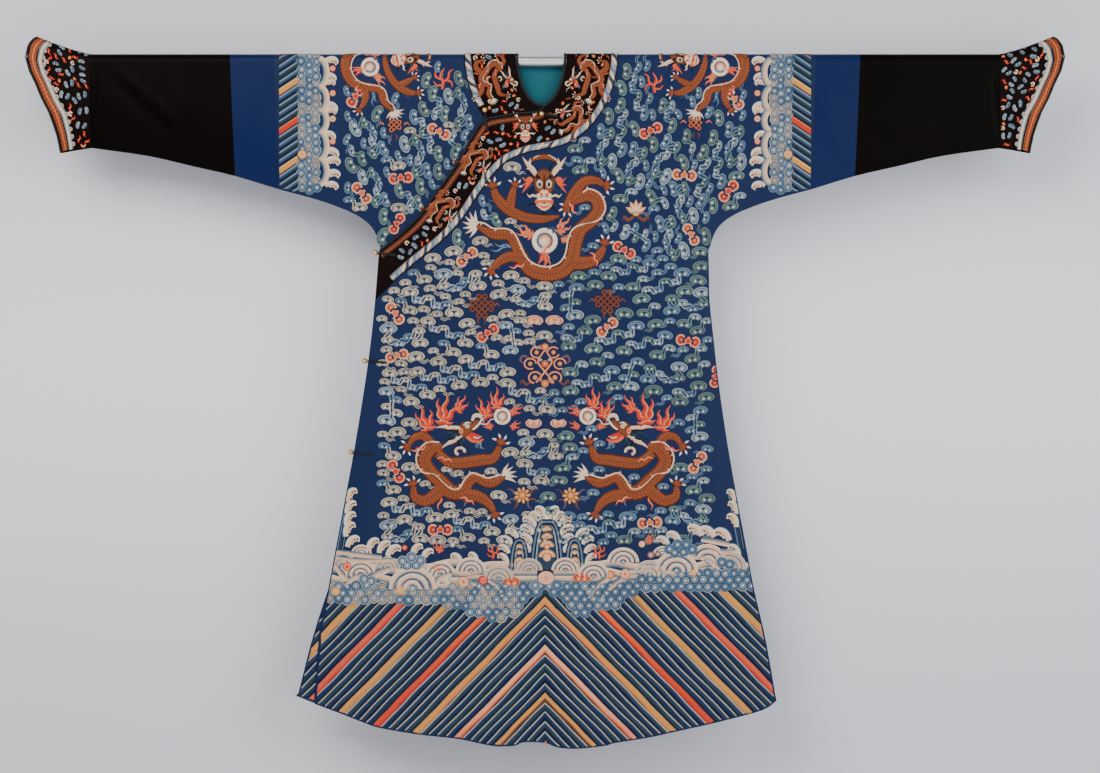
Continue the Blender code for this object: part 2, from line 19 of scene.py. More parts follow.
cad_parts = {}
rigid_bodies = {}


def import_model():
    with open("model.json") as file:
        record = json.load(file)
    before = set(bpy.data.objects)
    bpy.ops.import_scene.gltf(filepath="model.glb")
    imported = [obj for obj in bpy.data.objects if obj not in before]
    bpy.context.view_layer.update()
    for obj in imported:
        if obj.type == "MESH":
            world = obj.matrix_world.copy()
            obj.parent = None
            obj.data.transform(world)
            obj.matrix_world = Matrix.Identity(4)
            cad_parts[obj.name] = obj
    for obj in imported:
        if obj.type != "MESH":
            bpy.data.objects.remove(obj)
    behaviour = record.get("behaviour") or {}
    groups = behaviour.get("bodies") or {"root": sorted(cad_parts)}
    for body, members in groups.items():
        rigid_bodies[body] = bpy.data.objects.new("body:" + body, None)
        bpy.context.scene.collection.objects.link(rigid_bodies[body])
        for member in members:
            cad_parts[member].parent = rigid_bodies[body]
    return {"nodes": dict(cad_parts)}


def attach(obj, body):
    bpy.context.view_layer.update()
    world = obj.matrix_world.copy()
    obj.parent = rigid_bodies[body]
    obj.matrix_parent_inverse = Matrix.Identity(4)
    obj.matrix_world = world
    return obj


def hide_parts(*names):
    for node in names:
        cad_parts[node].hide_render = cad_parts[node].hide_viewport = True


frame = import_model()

bl_info = {
    "name": "Dragon Robe on a Rod",
    "version": (1, 0, 0),
    "blender": (4, 5, 0),
    "location": "View3D > Sidebar > Robe",
    "description": "Builds an embroidered court robe that hangs flat on a rod",
    "category": "Object",
}

MM = 0.001
FRONT, BACK = -1, 1

# The robe's cut, as the solids have it
BEND_RADIUS = 0.0126
QUARTER = 0.5 * math.pi * BEND_RADIUS
SATIN = (0.0, 0.0020)
OVERLAP = (0.0023, 0.0043)
BORDER = (0.0023, 0.0035)
OVERLAP_BORDER = (0.0046, 0.0058)
LINING = (-0.0013, -0.0003)
LAP_LIFT = 0.0023
HALF_SEAM = 0.00015
HOLLOW_HEM = 0.015
HOLLOW_EASE = 0.150
SLIT_TOP = 1.070
SLIT_OPEN = 0.002
HEM_DEPTH = 1.384
BODY_END = (0.550, 0.540, 0.260)
BAND_END = (0.639, 0.629, 0.233)
SLEEVE_END = (0.921, 0.176)
# columns: half-width, drop below the rod's axis
UNDERARM = ((921, 176), (807, 192), (720, 212), (629, 233), (540, 260), (480, 276), (430, 292),
            (385, 311), (357, 331), (343, 352), (335, 376))
# columns: drop, half-width on the wearer's right, half-width on the wearer's left
SIDE = ((388, 337, 332), (436, 341, 333), (485, 345, 334), (570, 354, 343), (650, 365, 352),
        (780, 386, 371), (910, 410, 394), (1000, 427, 411), (1070, 440, 424), (1160, 457, 445),
        (1235, 463, 459), (1304, 467, 470))
# columns: drop, how far the back and the inner front show beyond the lap at the right slit
SLIT_FLARE = ((1070, 0), (1160, 12), (1235, 26), (1304, 39))
# columns: x, drop of the hem
HEM = ((-506, 1288), (-467, 1304), (-416, 1322), (-371, 1339), (-333, 1351), (-254, 1365),
       (-210, 1370), (-168, 1375), (-108, 1387), (-63, 1387), (-43, 1380), (0, 1382), (22, 1390),
       (53, 1393), (90, 1391), (124, 1387), (142, 1382), (207, 1372), (286, 1354), (365, 1336),
       (442, 1316), (470, 1297))
INNER_HEM_RISE = 0.013
INNER_HEM_SLOPE = 0.12
# columns: x, drop of the lapping edge and of the lower edge of its border
LAP_EDGE = ((-4, 100), (-16, 106), (-40, 108), (-63, 110), (-114, 119), (-134, 136),
            (-152, 166), (-170, 201), (-191, 231), (-221, 273), (-255, 319), (-289, 351),
            (-337, 388))
LAP_BORDER_EDGE = ((-33, 186), (-75, 203), (-108, 235), (-138, 277), (-170, 325),
                   (-210, 367), (-261, 408), (-298, 440), (-345, 485))
INNER_EDGE = (0.030, 0.160)
NECK_X = -0.008
NECK_SIZE = (0.052, 0.0927, 0.025)
BORDER_SIZE = (0.157, 0.180, 0.119)
NECK_POINTS = 28
LINING_X = (-0.100, 0.084)
LINING_DROP = (0.0115, 0.150)
# columns: x and drop at the top of a fold, the same at its foot, reach to the viewer, half-width
FOLDS = ((-60, 900, -85, 1390, 5.0, 60), (55, 850, 72, 1393, 5.0, 60),
         (-250, 800, -330, 1350, 4.0, 72), (240, 800, 320, 1345, 4.0, 72),
         (-5, 950, -10, 1385, -4.0, 46), (-160, 850, -210, 1372, -4.0, 70),
         (150, 850, 190, 1376, -4.0, 70))
# columns: share of the way down from the cuff's fold, half-width and height of its mouth
CUFF_EDGE = ((0.00, 1030, 48), (0.06, 1039, 41), (0.12, 1046, 30), (0.22, 1050, 8),
             (0.33, 1043, -18), (0.45, 1030, -45), (0.55, 1018, -74), (0.65, 1003, -103),
             (0.75, 994, -128), (0.85, 987, -150), (0.93, 983, -170), (1.00, 981, -185))
CUFF_WALL = 0.0020
CUFF_MOUTH = 0.013
CUFF_FLARE = 1.25

# Soft creases laid on both layers of the cloth: columns: face (-1 front, 1 back, 0 both),
# x and drop at one end, x and drop at the other, height, half-width
CREASES = ((-1, -908, 6, -728, 176, -2.6, 20), (-1, -885, 2, -704, 166, 2.0, 22),
           (-1, 655, 158, 838, 104, 2.2, 15), (-1, 672, 182, 800, 150, -1.8, 13),
           (-1, 700, 110, 905, 72, -1.6, 16), (0, -760, 40, -650, 200, 1.4, 22),
           (0, 560, 40, 610, 225, 1.2, 18), (0, -560, 60, -600, 225, -1.0, 18),
           (0, -332, 372, -230, 600, 1.8, 30), (0, 330, 372, 225, 610, 1.8, 30),
           (0, -430, 280, -330, 200, 1.3, 24), (0, 430, 280, 325, 190, 1.3, 24),
           (0, -120, 620, -150, 1370, 1.6, 34), (0, 130, 640, 150, 1380, 1.6, 34),
           (0, -290, 700, -380, 1340, -1.6, 34), (0, 300, 700, 395, 1330, -1.6, 34),
           (0, 400, 1010, 440, 1300, 1.8, 34), (0, -390, 1010, -430, 1310, 1.8, 34),
           (0, 20, 1100, 40, 1390, 1.4, 38))

# Threads, as they look in daylight
DYES = {
    "cream": (214, 186, 154), "white": (230, 216, 196), "sand": (170, 158, 136), "pale": (132, 146, 152),
    "mist": (94, 116, 132), "mid": (44, 68, 96), "deep": (24, 42, 74), "navy": (12, 20, 42),
    "slate": (36, 54, 72), "sage": (92, 114, 106), "copper": (128, 64, 36), "copper_dark": (76, 36, 22),
    "brown": (108, 60, 38), "orange": (214, 104, 58), "red": (194, 48, 34), "pink": (226, 158, 124),
    "gold": (198, 136, 70), "yellow": (222, 174, 92), "mauve": (96, 70, 80), "black": (12, 10, 12),
    "bottle": (18, 34, 42),
}


def dye(name):
    """Linear colour of a thread."""
    c = np.array(DYES[name], float) / 255.0
    return np.where(c <= 0.04045, c / 12.92, ((c + 0.055) / 1.055) ** 2.4)


def smooth(t):
    t = np.clip(t, 0.0, 1.0)
    return t * t * (3.0 - 2.0 * t)


def column(table, key, col, key_col=0):
    rows = np.array(table, float) * MM
    return np.interp(key, rows[:, key_col], rows[:, col])


def flow(points, steps=4, closed=False):
    """Soft line through a few points, whatever else their rows carry."""
    p = np.asarray(points, float)
    ends = (p[-1:], p[:2]) if closed else (2 * p[:1] - p[1:2], 2 * p[-1:] - p[-2:-1])
    p = np.vstack([ends[0], p, ends[1]])
    t = np.arange(steps)[:, None] / steps
    out = [0.5 * (2 * b + (c - a) * t + (2 * a - 5 * b + 4 * c - d) * t ** 2
                  + (3 * b - a - 3 * c + d) * t ** 3) for a, b, c, d in zip(p, p[1:], p[2:], p[3:])]
    return np.vstack(out if closed else out + [p[-2:-1]])


def within(outline, x, v):
    """Whether points lie inside a closed outline."""
    hit = np.zeros(np.shape(x), bool)
    for (x0, v0), (x1, v1) in zip(outline, np.roll(outline, -1, 0)):
        if v0 != v1:
            hit ^= ((v0 > v) != (v1 > v)) & (x < x0 + (v - v0) / (v1 - v0) * (x1 - x0))
    return hit


def reach(line, x, v):
    """Distance from points to a line, and the share along its last nearest span."""
    best = np.full(np.shape(x), 1e9)
    share = np.zeros(np.shape(x))
    for (x0, v0), (x1, v1) in zip(line, line[1:]):
        dx, dv = x1 - x0, v1 - v0
        t = np.clip(((x - x0) * dx + (v - v0) * dv) / (dx * dx + dv * dv + 1e-15), 0, 1)
        away = np.hypot(x - x0 - dx * t, v - v0 - dv * t)
        share = np.where(away < best, t, share)
        best = np.minimum(best, away)
    return best, share


SIDE_SEAM = {side: np.array(list(UNDERARM) + [(row[col], row[0]) for row in SIDE], float) * MM
             for side, col in ((-1, 1), (1, 2))}


def seam_distance(x, drop):
    away = np.where(x < 0, reach(SIDE_SEAM[-1], -x, drop)[0], reach(SIDE_SEAM[1], x, drop)[0])
    half = np.where(x < 0, column(SIDE, drop, 1), column(SIDE, drop, 2))
    return np.where((drop > SIDE[0][0] * MM) & (np.abs(x) >= half), 0.0, away)


def half_gap(x, drop, away):
    middle = BEND_RADIUS + (HOLLOW_HEM - BEND_RADIUS) * drop / HEM_DEPTH
    edge = HALF_SEAM + SLIT_OPEN * smooth((drop - SLIT_TOP) / (HEM_DEPTH - SLIT_TOP))
    t = np.minimum(away / HOLLOW_EASE, 1.0)
    return edge + (middle - edge) * t * (2.0 - t)


def lap(x, v):
    """Extra lift of the left front over the inner panel."""
    drop = -v - QUARTER
    rise = LAP_LIFT * smooth(drop / 0.085) * (1.0 - smooth((x - 0.040) / 0.120))
    return np.where((x >= 0) & (drop > 0), rise, 0.0)


def hang(x, v, lift):
    """Places in space of points of the cutting plane, this far outside the hollow."""
    x, v, lift = (np.asarray(a, float) for a in np.broadcast_arrays(x, v, lift))
    drop = np.maximum(np.abs(v) - QUARTER, 0.0)
    face = np.where(v > 0, 1.0, -1.0)
    away = seam_distance(x, drop)
    sway = np.zeros(x.shape)
    for x0, d0, x1, d1, rise, width in FOLDS:
        near, share = reach(np.array([(x0, d0), (x1, d1)]) * MM, x, drop)
        sway += rise * MM * smooth(1.0 - near / (width * MM)) * smooth(share)
    sway *= smooth(away / 0.080)
    relief = np.zeros(x.shape)
    for side, x0, d0, x1, d1, rise, width in CREASES:
        near, share = reach(np.array([(x0, d0), (x1, d1)]) * MM, x, drop)
        soft = smooth(1.0 - near / (width * MM)) * smooth(np.sin(math.pi * np.clip(share, 0.04, 0.96)))
        relief += rise * MM * soft * (1.0 if side == 0 else (face == side))
    relief *= smooth(away / 0.045) * smooth(drop / 0.030)
    a = np.clip(v, -QUARTER, QUARTER) / BEND_RADIUS
    hangs = drop > 0
    y = np.where(hangs, face * (half_gap(x, drop, away) + lift + relief) - sway,
                 (BEND_RADIUS + lift) * np.sin(a))
    z = np.where(hangs, -drop, (BEND_RADIUS + lift) * np.cos(a))
    return np.stack([x, y, z], -1)


def ring_line(size):
    """Closed curve round the neck on the cutting plane: half-width, drop in front, reach behind."""
    half, front, back = size
    a = math.asin(NECK_X / half) + 2 * math.pi * np.arange(NECK_POINTS * 2) / (NECK_POINTS * 2)
    far = np.where(np.cos(a) > 0, front + QUARTER, back)
    return np.stack([NECK_X - half * np.sin(a), -far * np.cos(a)], -1)


def on_plane(table, face):
    rows = np.asarray(table, float)[:, :2] * MM
    return np.stack([rows[:, 0], face * (QUARTER + rows[:, 1])], -1)


def side_line(side, face, flared=True):
    """Edge of the robe from the sleeve's end down to the hem's corner."""
    line = flow(SIDE_SEAM[side], 3)
    w, d = line[:, 0], line[:, 1]
    if side < 0 and flared:
        w = w + column(SLIT_FLARE, d, 1)
    d = np.minimum(d, column(HEM, side * w, 1))
    return np.stack([side * w, face * (QUARTER + d)], -1)


def hem_line(face):
    return on_plane(flow(HEM, 3), face)


def inner_hem():
    """Hem of the inner front, shorter than the lap over it but for the corner that shows."""
    line = hem_line(FRONT)
    line[:, 1] += np.minimum(INNER_HEM_RISE, (line[:, 0] - line[0, 0]) * INNER_HEM_SLOPE)
    return line


NECK_HOLE = ring_line(NECK_SIZE)
BORDER_RING = ring_line(BORDER_SIZE)
GARMENT = np.vstack([side_line(1, FRONT)[::-1], side_line(1, BACK), hem_line(BACK)[::-1][1:-1],
                     side_line(-1, BACK)[::-1], side_line(-1, FRONT), hem_line(FRONT)[1:-1]])
LAP_LINE = np.vstack([NECK_HOLE[:1], on_plane(flow(LAP_EDGE, 3), FRONT)])
LAP_BORDER_LINE = np.vstack([BORDER_RING[:1], on_plane(flow(LAP_BORDER_EDGE, 3), FRONT)])
RIGHT_SIDE = side_line(-1, FRONT, flared=False)[3 * len(UNDERARM):]
FRONT_HEM = hem_line(FRONT)
OVERLAP_AREA = np.vstack([LAP_LINE, RIGHT_SIDE[1:],
                          FRONT_HEM[(FRONT_HEM[:, 0] > -0.467) & (FRONT_HEM[:, 0] <= 0)]])
LAP_BORDER_AREA = np.vstack([LAP_LINE, RIGHT_SIDE[1:][RIGHT_SIDE[1:, 1] > LAP_BORDER_LINE[-1, 1]],
                             LAP_BORDER_LINE[::-1]])
INNER_AREA = np.array([NECK_HOLE[0], (INNER_EDGE[0], -QUARTER - INNER_EDGE[1]),
                       (INNER_EDGE[0], -QUARTER - 1.45), (0.0, -QUARTER - 1.45)])
BORDER_END = np.array([NECK_HOLE[0], NECK_HOLE[1], LAP_LINE[1]])
LINING_AREA = np.array([(LINING_X[i], QUARTER + LINING_DROP[j])
                        for i, j in ((0, 0), (1, 0), (1, 1), (0, 1))])


def sleeve_seam(end, side):
    top, bottom, drop = end
    k = np.linspace(-1, 1, 25)
    return np.stack([side * (top + (bottom - top) * np.abs(k)), k * (QUARTER + drop)], -1)


def past(end, side, x, v):
    line = sleeve_seam(end, side)
    return side * x > side * np.interp(v, line[:, 1], line[:, 0])


def ground(x, v):
    """Lift of the satin's face under needlework."""
    return np.where(within(OVERLAP_AREA, x, v), OVERLAP[1], SATIN[1] + lap(x, v))


def border_face(x, v):
    """Lift of the dark borders' face."""
    return np.where(within(OVERLAP_AREA, x, v), OVERLAP_BORDER[1], BORDER[1] + lap(x, v))


def satin_face(x, v):
    return np.full(np.shape(x), SATIN[1])


def cuff_hang(x, v, lift):
    """Places in space of points of a cuff, whose plane goes on from the sleeve's."""
    x, v, lift = (np.asarray(a, float) for a in np.broadcast_arrays(x, v, lift))
    seam_x, depth = SLEEVE_END[0] + HALF_SEAM, QUARTER + SLEEVE_END[1]

    def skin(w, ax):
        share = np.abs(w)
        rows = np.array(CUFF_EDGE, float)
        mouth_x, mouth_z = (np.interp(share, rows[:, 0], rows[:, c] * MM) for c in (1, 2))
        u = np.clip((ax - seam_x) / (mouth_x - seam_x), 0.0, 1.0)
        start = hang(seam_x, -w * depth, 0.0)
        mouth_y = -np.sign(w) * (HALF_SEAM + CUFF_MOUTH * np.sqrt(
            np.maximum(np.sin(math.pi * np.minimum(share, 1.0)), 0.0)))
        rise = u ** CUFF_FLARE
        return np.stack([start[..., 1] * (1 - u) + mouth_y * u,
                         start[..., 2] * (1 - rise) + mouth_z * rise], -1)

    w, ax = np.clip(-v / depth, -1, 1), np.abs(x)
    here = skin(w, ax)
    step = skin(np.minimum(w + 0.01, 1), ax) - skin(np.maximum(w - 0.01, -1), ax)
    out = np.stack([step[..., 1], -step[..., 0]], -1)
    out /= np.maximum(np.linalg.norm(out, axis=-1, keepdims=True), 1e-9)
    here = here + out * lift[..., None]
    return np.stack([x, here[..., 0], here[..., 1]], -1)


def cuff_mouth(w):
    rows = np.array(CUFF_EDGE, float)
    return np.interp(np.abs(w), rows[:, 0], rows[:, 1] * MM)


# Meshes and materials

def piece(name, co, tris, finishes, kinds=None, thread=None, way=None, sharp=0.0):
    """Mesh object in place, with thread colours by point and a stitch map by corner."""
    mesh = bpy.data.meshes.new(name)
    mesh.from_pydata(np.asarray(co).tolist(), [], np.asarray(tris).tolist())
    for finish in finishes:
        mesh.materials.append(finish)
    mesh.polygons.foreach_set("use_smooth", np.ones(len(mesh.polygons), bool))
    if sharp:
        mesh.set_sharp_from_angle(angle=sharp)
    if kinds is not None:
        mesh.polygons.foreach_set("material_index", np.asarray(kinds, np.int32))
    if thread is not None:
        rgba = np.ones((len(co), 4), np.float32)
        rgba[:, :3] = thread
        mesh.color_attributes.new("thread", "FLOAT_COLOR", "POINT").data.foreach_set(
            "color", rgba.ravel())
    if way is not None:
        corners = np.zeros(len(mesh.loops), np.int32)
        mesh.loops.foreach_get("vertex_index", corners)
        mesh.uv_layers.new(name="UVMap").data.foreach_set(
            "uv", np.asarray(way, np.float32)[corners].ravel())
    mesh.update()
    obj = bpy.data.objects.new(name, mesh)
    bpy.context.scene.collection.objects.link(obj)
    return obj


def grid_tris(rows, cols):
    i, j = np.meshgrid(np.arange(rows - 1), np.arange(cols - 1), indexing="ij")
    a = (i * cols + j).ravel()
    return np.vstack([np.stack([a, a + cols, a + cols + 1], -1), np.stack([a, a + cols + 1, a + 1], -1)])


class Shader:
    """Small hand for wiring a node tree."""

    def __init__(self, tree):
        self.tree = tree

    def node(self, kind, inputs=(), **settings):
        n = self.tree.nodes.new(kind)
        for key, value in settings.items():
            setattr(n, key, value)
        for key, value in dict(inputs).items():
            if isinstance(value, bpy.types.NodeSocket):
                self.tree.links.new(value, n.inputs[key])
            else:
                n.inputs[key].default_value = value
        return n


def shared_effect(name, inputs, outputs):
    """Empty shader node group with named inputs and outputs, or the one made before."""
    if name in bpy.data.node_groups:
        return bpy.data.node_groups[name], None, None, None
    tree = bpy.data.node_groups.new(name, "ShaderNodeTree")
    for label, kind, value in inputs:
        socket = tree.interface.new_socket(label, in_out="INPUT", socket_type=kind)
        if value is not None:
            socket.default_value = value
    for label, kind in outputs:
        tree.interface.new_socket(label, in_out="OUTPUT", socket_type=kind)
    hand = Shader(tree)
    return tree, hand, hand.node("NodeGroupInput"), hand.node("NodeGroupOutput")


def satin_weave():
    """Long warp floats of satin with a slow drift of tone, as height and shade."""
    tree, hand, source, sink = shared_effect(
        "satin_weave", (("Way", "NodeSocketVector", None), ("Float Width", "NodeSocketFloat", 0.0007),
                        ("Drift", "NodeSocketFloat", 0.12)),
        (("Height", "NodeSocketFloat"), ("Shade", "NodeSocketFloat")))
    if hand:
        inverse = hand.node("ShaderNodeMath", {0: 1.0, 1: source.outputs["Float Width"]},
                            operation="DIVIDE")
        long = hand.node("ShaderNodeVectorMath", {0: source.outputs["Way"], 1: (1.0, 0.12, 1.0)},
                         operation="MULTIPLY")
        floats = hand.node("ShaderNodeTexNoise", {"Vector": long.outputs[0],
                                                  "Scale": inverse.outputs[0], "Detail": 2.0})
        slow = hand.node("ShaderNodeTexNoise", {"Vector": source.outputs["Way"], "Scale": 7.0,
                                                "Detail": 4.0, "Roughness": 0.6})
        centred = hand.node("ShaderNodeMath", {0: slow.outputs["Fac"], 1: 0.5},
                            operation="SUBTRACT")
        drift = hand.node("ShaderNodeMath", {0: centred.outputs[0], 1: source.outputs["Drift"],
                                             2: 1.0}, operation="MULTIPLY_ADD")
        twice = hand.node("ShaderNodeMath", {0: floats.outputs["Fac"], 1: 0.16, 2: 0.92},
                          operation="MULTIPLY_ADD")
        shade = hand.node("ShaderNodeMath", {0: drift.outputs[0], 1: twice.outputs[0]},
                          operation="MULTIPLY")
        hand.tree.links.new(floats.outputs["Fac"], sink.inputs["Height"])
        hand.tree.links.new(shade.outputs[0], sink.inputs["Shade"])
    return tree


def silk_stitches():
    """Satin stitches laid side by side across a motif, as height and shade."""
    tree, hand, source, sink = shared_effect(
        "silk_stitches", (("Way", "NodeSocketVector", None), ("Stitch", "NodeSocketFloat", 0.0009),
                          ("Contrast", "NodeSocketFloat", 0.22)),
        (("Height", "NodeSocketFloat"), ("Shade", "NodeSocketFloat")))
    if hand:
        scale = hand.node("ShaderNodeMath", {0: math.pi / 10.0, 1: source.outputs["Stitch"]},
                          operation="DIVIDE")
        rows = hand.node("ShaderNodeTexWave", {"Vector": source.outputs["Way"],
                                               "Scale": scale.outputs[0], "Distortion": 0.6,
                                               "Detail": 1.0}, bands_direction="X")
        worn = hand.node("ShaderNodeTexNoise", {"Vector": source.outputs["Way"], "Scale": 260.0,
                                                "Detail": 3.0})
        mix = hand.node("ShaderNodeMath", {0: rows.outputs["Fac"], 1: worn.outputs["Fac"]},
                        operation="ADD")
        centred = hand.node("ShaderNodeMath", {0: mix.outputs[0], 1: 1.0}, operation="SUBTRACT")
        shade = hand.node("ShaderNodeMath", {0: centred.outputs[0],
                                             1: source.outputs["Contrast"], 2: 1.0},
                          operation="MULTIPLY_ADD")
        hand.tree.links.new(rows.outputs["Fac"], sink.inputs["Height"])
        hand.tree.links.new(shade.outputs[0], sink.inputs["Shade"])
    return tree


def dragon_scales():
    """Overlapping scales of couched thread along a body, as height and shade."""
    tree, hand, source, sink = shared_effect(
        "dragon_scales", (("Way", "NodeSocketVector", None), ("Scale Length", "NodeSocketFloat", 0.0062)),
        (("Height", "NodeSocketFloat"), ("Shade", "NodeSocketFloat")))
    if hand:
        def maths(op, a, b=0.0, c=0.0):
            return hand.node("ShaderNodeMath", {0: a, 1: b, 2: c}, operation=op).outputs[0]
        parts = hand.node("ShaderNodeSeparateXYZ", {0: source.outputs["Way"]})
        row = maths("DIVIDE", parts.outputs[0], source.outputs["Scale Length"])
        across = maths("DIVIDE", parts.outputs[1], source.outputs["Scale Length"])
        odd = maths("MODULO", maths("FLOOR", row), 2.0)
        shifted = maths("MULTIPLY_ADD", odd, 0.5, across)
        fx = maths("SUBTRACT", maths("FRACT", shifted), 0.5)
        fy = maths("FRACT", row)
        bend = maths("MULTIPLY", maths("MULTIPLY", fx, fx), 1.8)
        depth = maths("FRACT", maths("ADD", fy, bend))
        hand.tree.links.new(depth, sink.inputs["Height"])
        hand.tree.links.new(maths("MULTIPLY_ADD", maths("POWER", depth, 2.0), -0.75, 1.26),
                            sink.inputs["Shade"])
    return tree


def new_material(name):
    mat = bpy.data.materials.new(name)
    mat.use_nodes = True
    shader = next(n for n in mat.node_tree.nodes if n.type == "BSDF_PRINCIPLED")
    return mat, shader, Shader(mat.node_tree)


def tint(hand, colour, shade):
    """Colour multiplied by a shade."""
    mix = hand.node("ShaderNodeVectorMath", operation="SCALE")
    for value, socket in ((colour, mix.inputs[0]), (shade, mix.inputs["Scale"])):
        if isinstance(value, bpy.types.NodeSocket):
            hand.tree.links.new(value, socket)
        else:
            socket.default_value = tuple(value)[:3]
    return mix.outputs[0]


def satin_cloth(name, colour, float_width=0.0007, drift=0.2, roughness=0.42, gloss=0.1, bump=0.25):
    """Plain satin on the cutting plane's own map."""
    if name in bpy.data.materials:
        return bpy.data.materials[name]
    mat, shader, hand = new_material(name)
    way = hand.node("ShaderNodeTexCoord").outputs["UV"]
    weave = hand.node("ShaderNodeGroup", node_tree=satin_weave())
    hand.tree.links.new(way, weave.inputs["Way"])
    weave.inputs["Float Width"].default_value = float_width
    weave.inputs["Drift"].default_value = drift
    hand.tree.links.new(tint(hand, colour, weave.outputs["Shade"]), shader.inputs["Base Color"])
    relief = hand.node("ShaderNodeBump", {"Height": weave.outputs["Height"], "Strength": bump,
                                          "Distance": 0.0003})
    hand.tree.links.new(relief.outputs[0], shader.inputs["Normal"])
    shader.inputs["Roughness"].default_value = roughness
    shader.inputs["Specular IOR Level"].default_value = gloss
    return mat


def thread_material(name, effect, metallic, roughness, bump=0.35):
    """Thread whose colour is stored on the needlework's points."""
    if name in bpy.data.materials:
        return bpy.data.materials[name]
    mat, shader, hand = new_material(name)
    way = hand.node("ShaderNodeTexCoord").outputs["UV"]
    colour = hand.node("ShaderNodeAttribute", attribute_name="thread").outputs["Color"]
    group = hand.node("ShaderNodeGroup", node_tree=effect)
    hand.tree.links.new(way, group.inputs["Way"])
    hand.tree.links.new(tint(hand, colour, group.outputs["Shade"]), shader.inputs["Base Color"])
    relief = hand.node("ShaderNodeBump", {"Height": group.outputs["Height"], "Strength": bump,
                                          "Distance": 0.0004})
    hand.tree.links.new(relief.outputs[0], shader.inputs["Normal"])
    shader.inputs["Metallic"].default_value = metallic
    shader.inputs["Roughness"].default_value = roughness
    shader.inputs["Specular IOR Level"].default_value = 0.12
    return mat


def plain_material(name, colour, metallic, roughness, grain=300.0, spread=0.1):
    """Cord or metal with a fine grain in its own tone and gloss."""
    if name in bpy.data.materials:
        return bpy.data.materials[name]
    mat, shader, hand = new_material(name)
    spot = hand.node("ShaderNodeTexCoord").outputs["Object"]
    noise = hand.node("ShaderNodeTexNoise", {"Vector": spot, "Scale": grain, "Detail": 3.0})
    shade = hand.node("ShaderNodeMath", {0: noise.outputs["Fac"], 1: 2 * spread, 2: 1.0 - spread},
                      operation="MULTIPLY_ADD")
    hand.tree.links.new(tint(hand, colour, shade.outputs[0]), shader.inputs["Base Color"])
    gloss = hand.node("ShaderNodeMath", {0: noise.outputs["Fac"], 1: 0.16, 2: roughness - 0.08},
                      operation="MULTIPLY_ADD")
    hand.tree.links.new(gloss.outputs[0], shader.inputs["Roughness"])
    shader.inputs["Metallic"].default_value = metallic
    return mat


def threads():
    """Silk first, couched gold second: the order that needlework's kinds use."""
    return [thread_material("silk_floss", silk_stitches(), 0.0, 0.55),
            thread_material("couched_gold", dragon_scales(), 0.25, 0.5, bump=0.6)]


# Cloth

def cut_cloth(step):
    """One triangulation of the cutting plane that all the panels share."""
    x_rod = np.arange(-0.930, 0.9301, 0.030)
    lines = [np.vstack([o, o[:1]]) for o in (GARMENT, NECK_HOLE, BORDER_RING, INNER_AREA, LINING_AREA)]
    lines += [LAP_LINE, LAP_BORDER_LINE, BORDER_END[1:], RIGHT_SIDE, inner_hem()]
    lines += [sleeve_seam(end, side) for end in (BODY_END, BAND_END) for side in (-1, 1)]
    down = np.arange(0.13, 1.45, 0.03)
    lines.append(np.vstack([NECK_HOLE[:1], np.stack([0 * down, -QUARTER - down], -1)]))
    down = np.arange(0.001, 1.45, 0.03)
    lines.append(np.stack([0 * down, QUARTER + down], -1))
    lines += [np.stack([x_rod, 0 * x_rod + QUARTER * k / 7.0], -1) for k in range(-7, 8)]
    points, edges = [], []
    for line in lines:
        first = sum(len(p) for p in points)
        points.append(line)
        edges += [(first + i, first + i + 1) for i in range(len(line) - 1)]
    xs = np.arange(-0.92, 0.9201, step)
    ds = np.arange(step * 0.6, 1.40, step)
    gx, gd = (a.ravel() for a in np.meshgrid(xs, ds))
    for face in (FRONT, BACK):
        gv = face * (QUARTER + gd)
        keep = within(GARMENT, gx, gv)
        x, v = gx[keep], gv[keep]
        clear = np.ones(len(x), bool)
        for line in lines:
            clear &= reach(line, x, v)[0] > 0.4 * step
        points.append(np.stack([x[clear], v[clear]], -1))
    flat = np.vstack(points)
    verts, _, faces, *_ = delaunay_2d_cdt([Vector(p) for p in flat], edges, [], 0, 1e-6)
    verts = np.array([(p.x, p.y) for p in verts])
    tris = np.array([tuple(f) for f in faces])
    a, b, c = (verts[tris[:, i]] for i in range(3))
    turn = (b[:, 0] - a[:, 0]) * (c[:, 1] - a[:, 1]) - (b[:, 1] - a[:, 1]) * (c[:, 0] - a[:, 0])
    tris[turn < 0] = tris[turn < 0][:, ::-1]
    return verts, tris[np.abs(turn) > 1e-9]


def panel_masks(cut):
    """Which triangles of the cutting plane belong to each panel."""
    verts, tris = cut
    x, v = verts[tris].mean(1).T
    cloth = within(GARMENT, x, v) & ~within(NECK_HOLE, x, v)
    past_body = past(BODY_END, 1, x, v) | past(BODY_END, -1, x, v)
    past_band = past(BAND_END, 1, x, v) | past(BAND_END, -1, x, v)
    body = cloth & ~past_body
    over = body & within(OVERLAP_AREA, x, v)
    hem = inner_hem()
    inner = (v > np.interp(x, hem[:, 0], hem[:, 1])) & ((x < 0) | within(INNER_AREA, x, v))
    masks = {
        "right_body": body & np.where(v > -QUARTER, x < 0, inner),
        "left_body": body & (x > 0),
        "overlap_front": over,
        "neck_border": body & within(BORDER_RING, x, v) & ~over & ~within(BORDER_END, x, v),
        "overlap_border": over & within(LAP_BORDER_AREA, x, v),
        "neck_lining": within(LINING_AREA, x, v),
    }
    for side, hand in ((-1, "right"), (1, "left")):
        masks[hand + "_sleeve_band"] = cloth & past_body & ~past_band & (side * x > 0)
        masks[hand + "_sleeve_extension"] = cloth & past_band & (side * x > 0)
    return masks


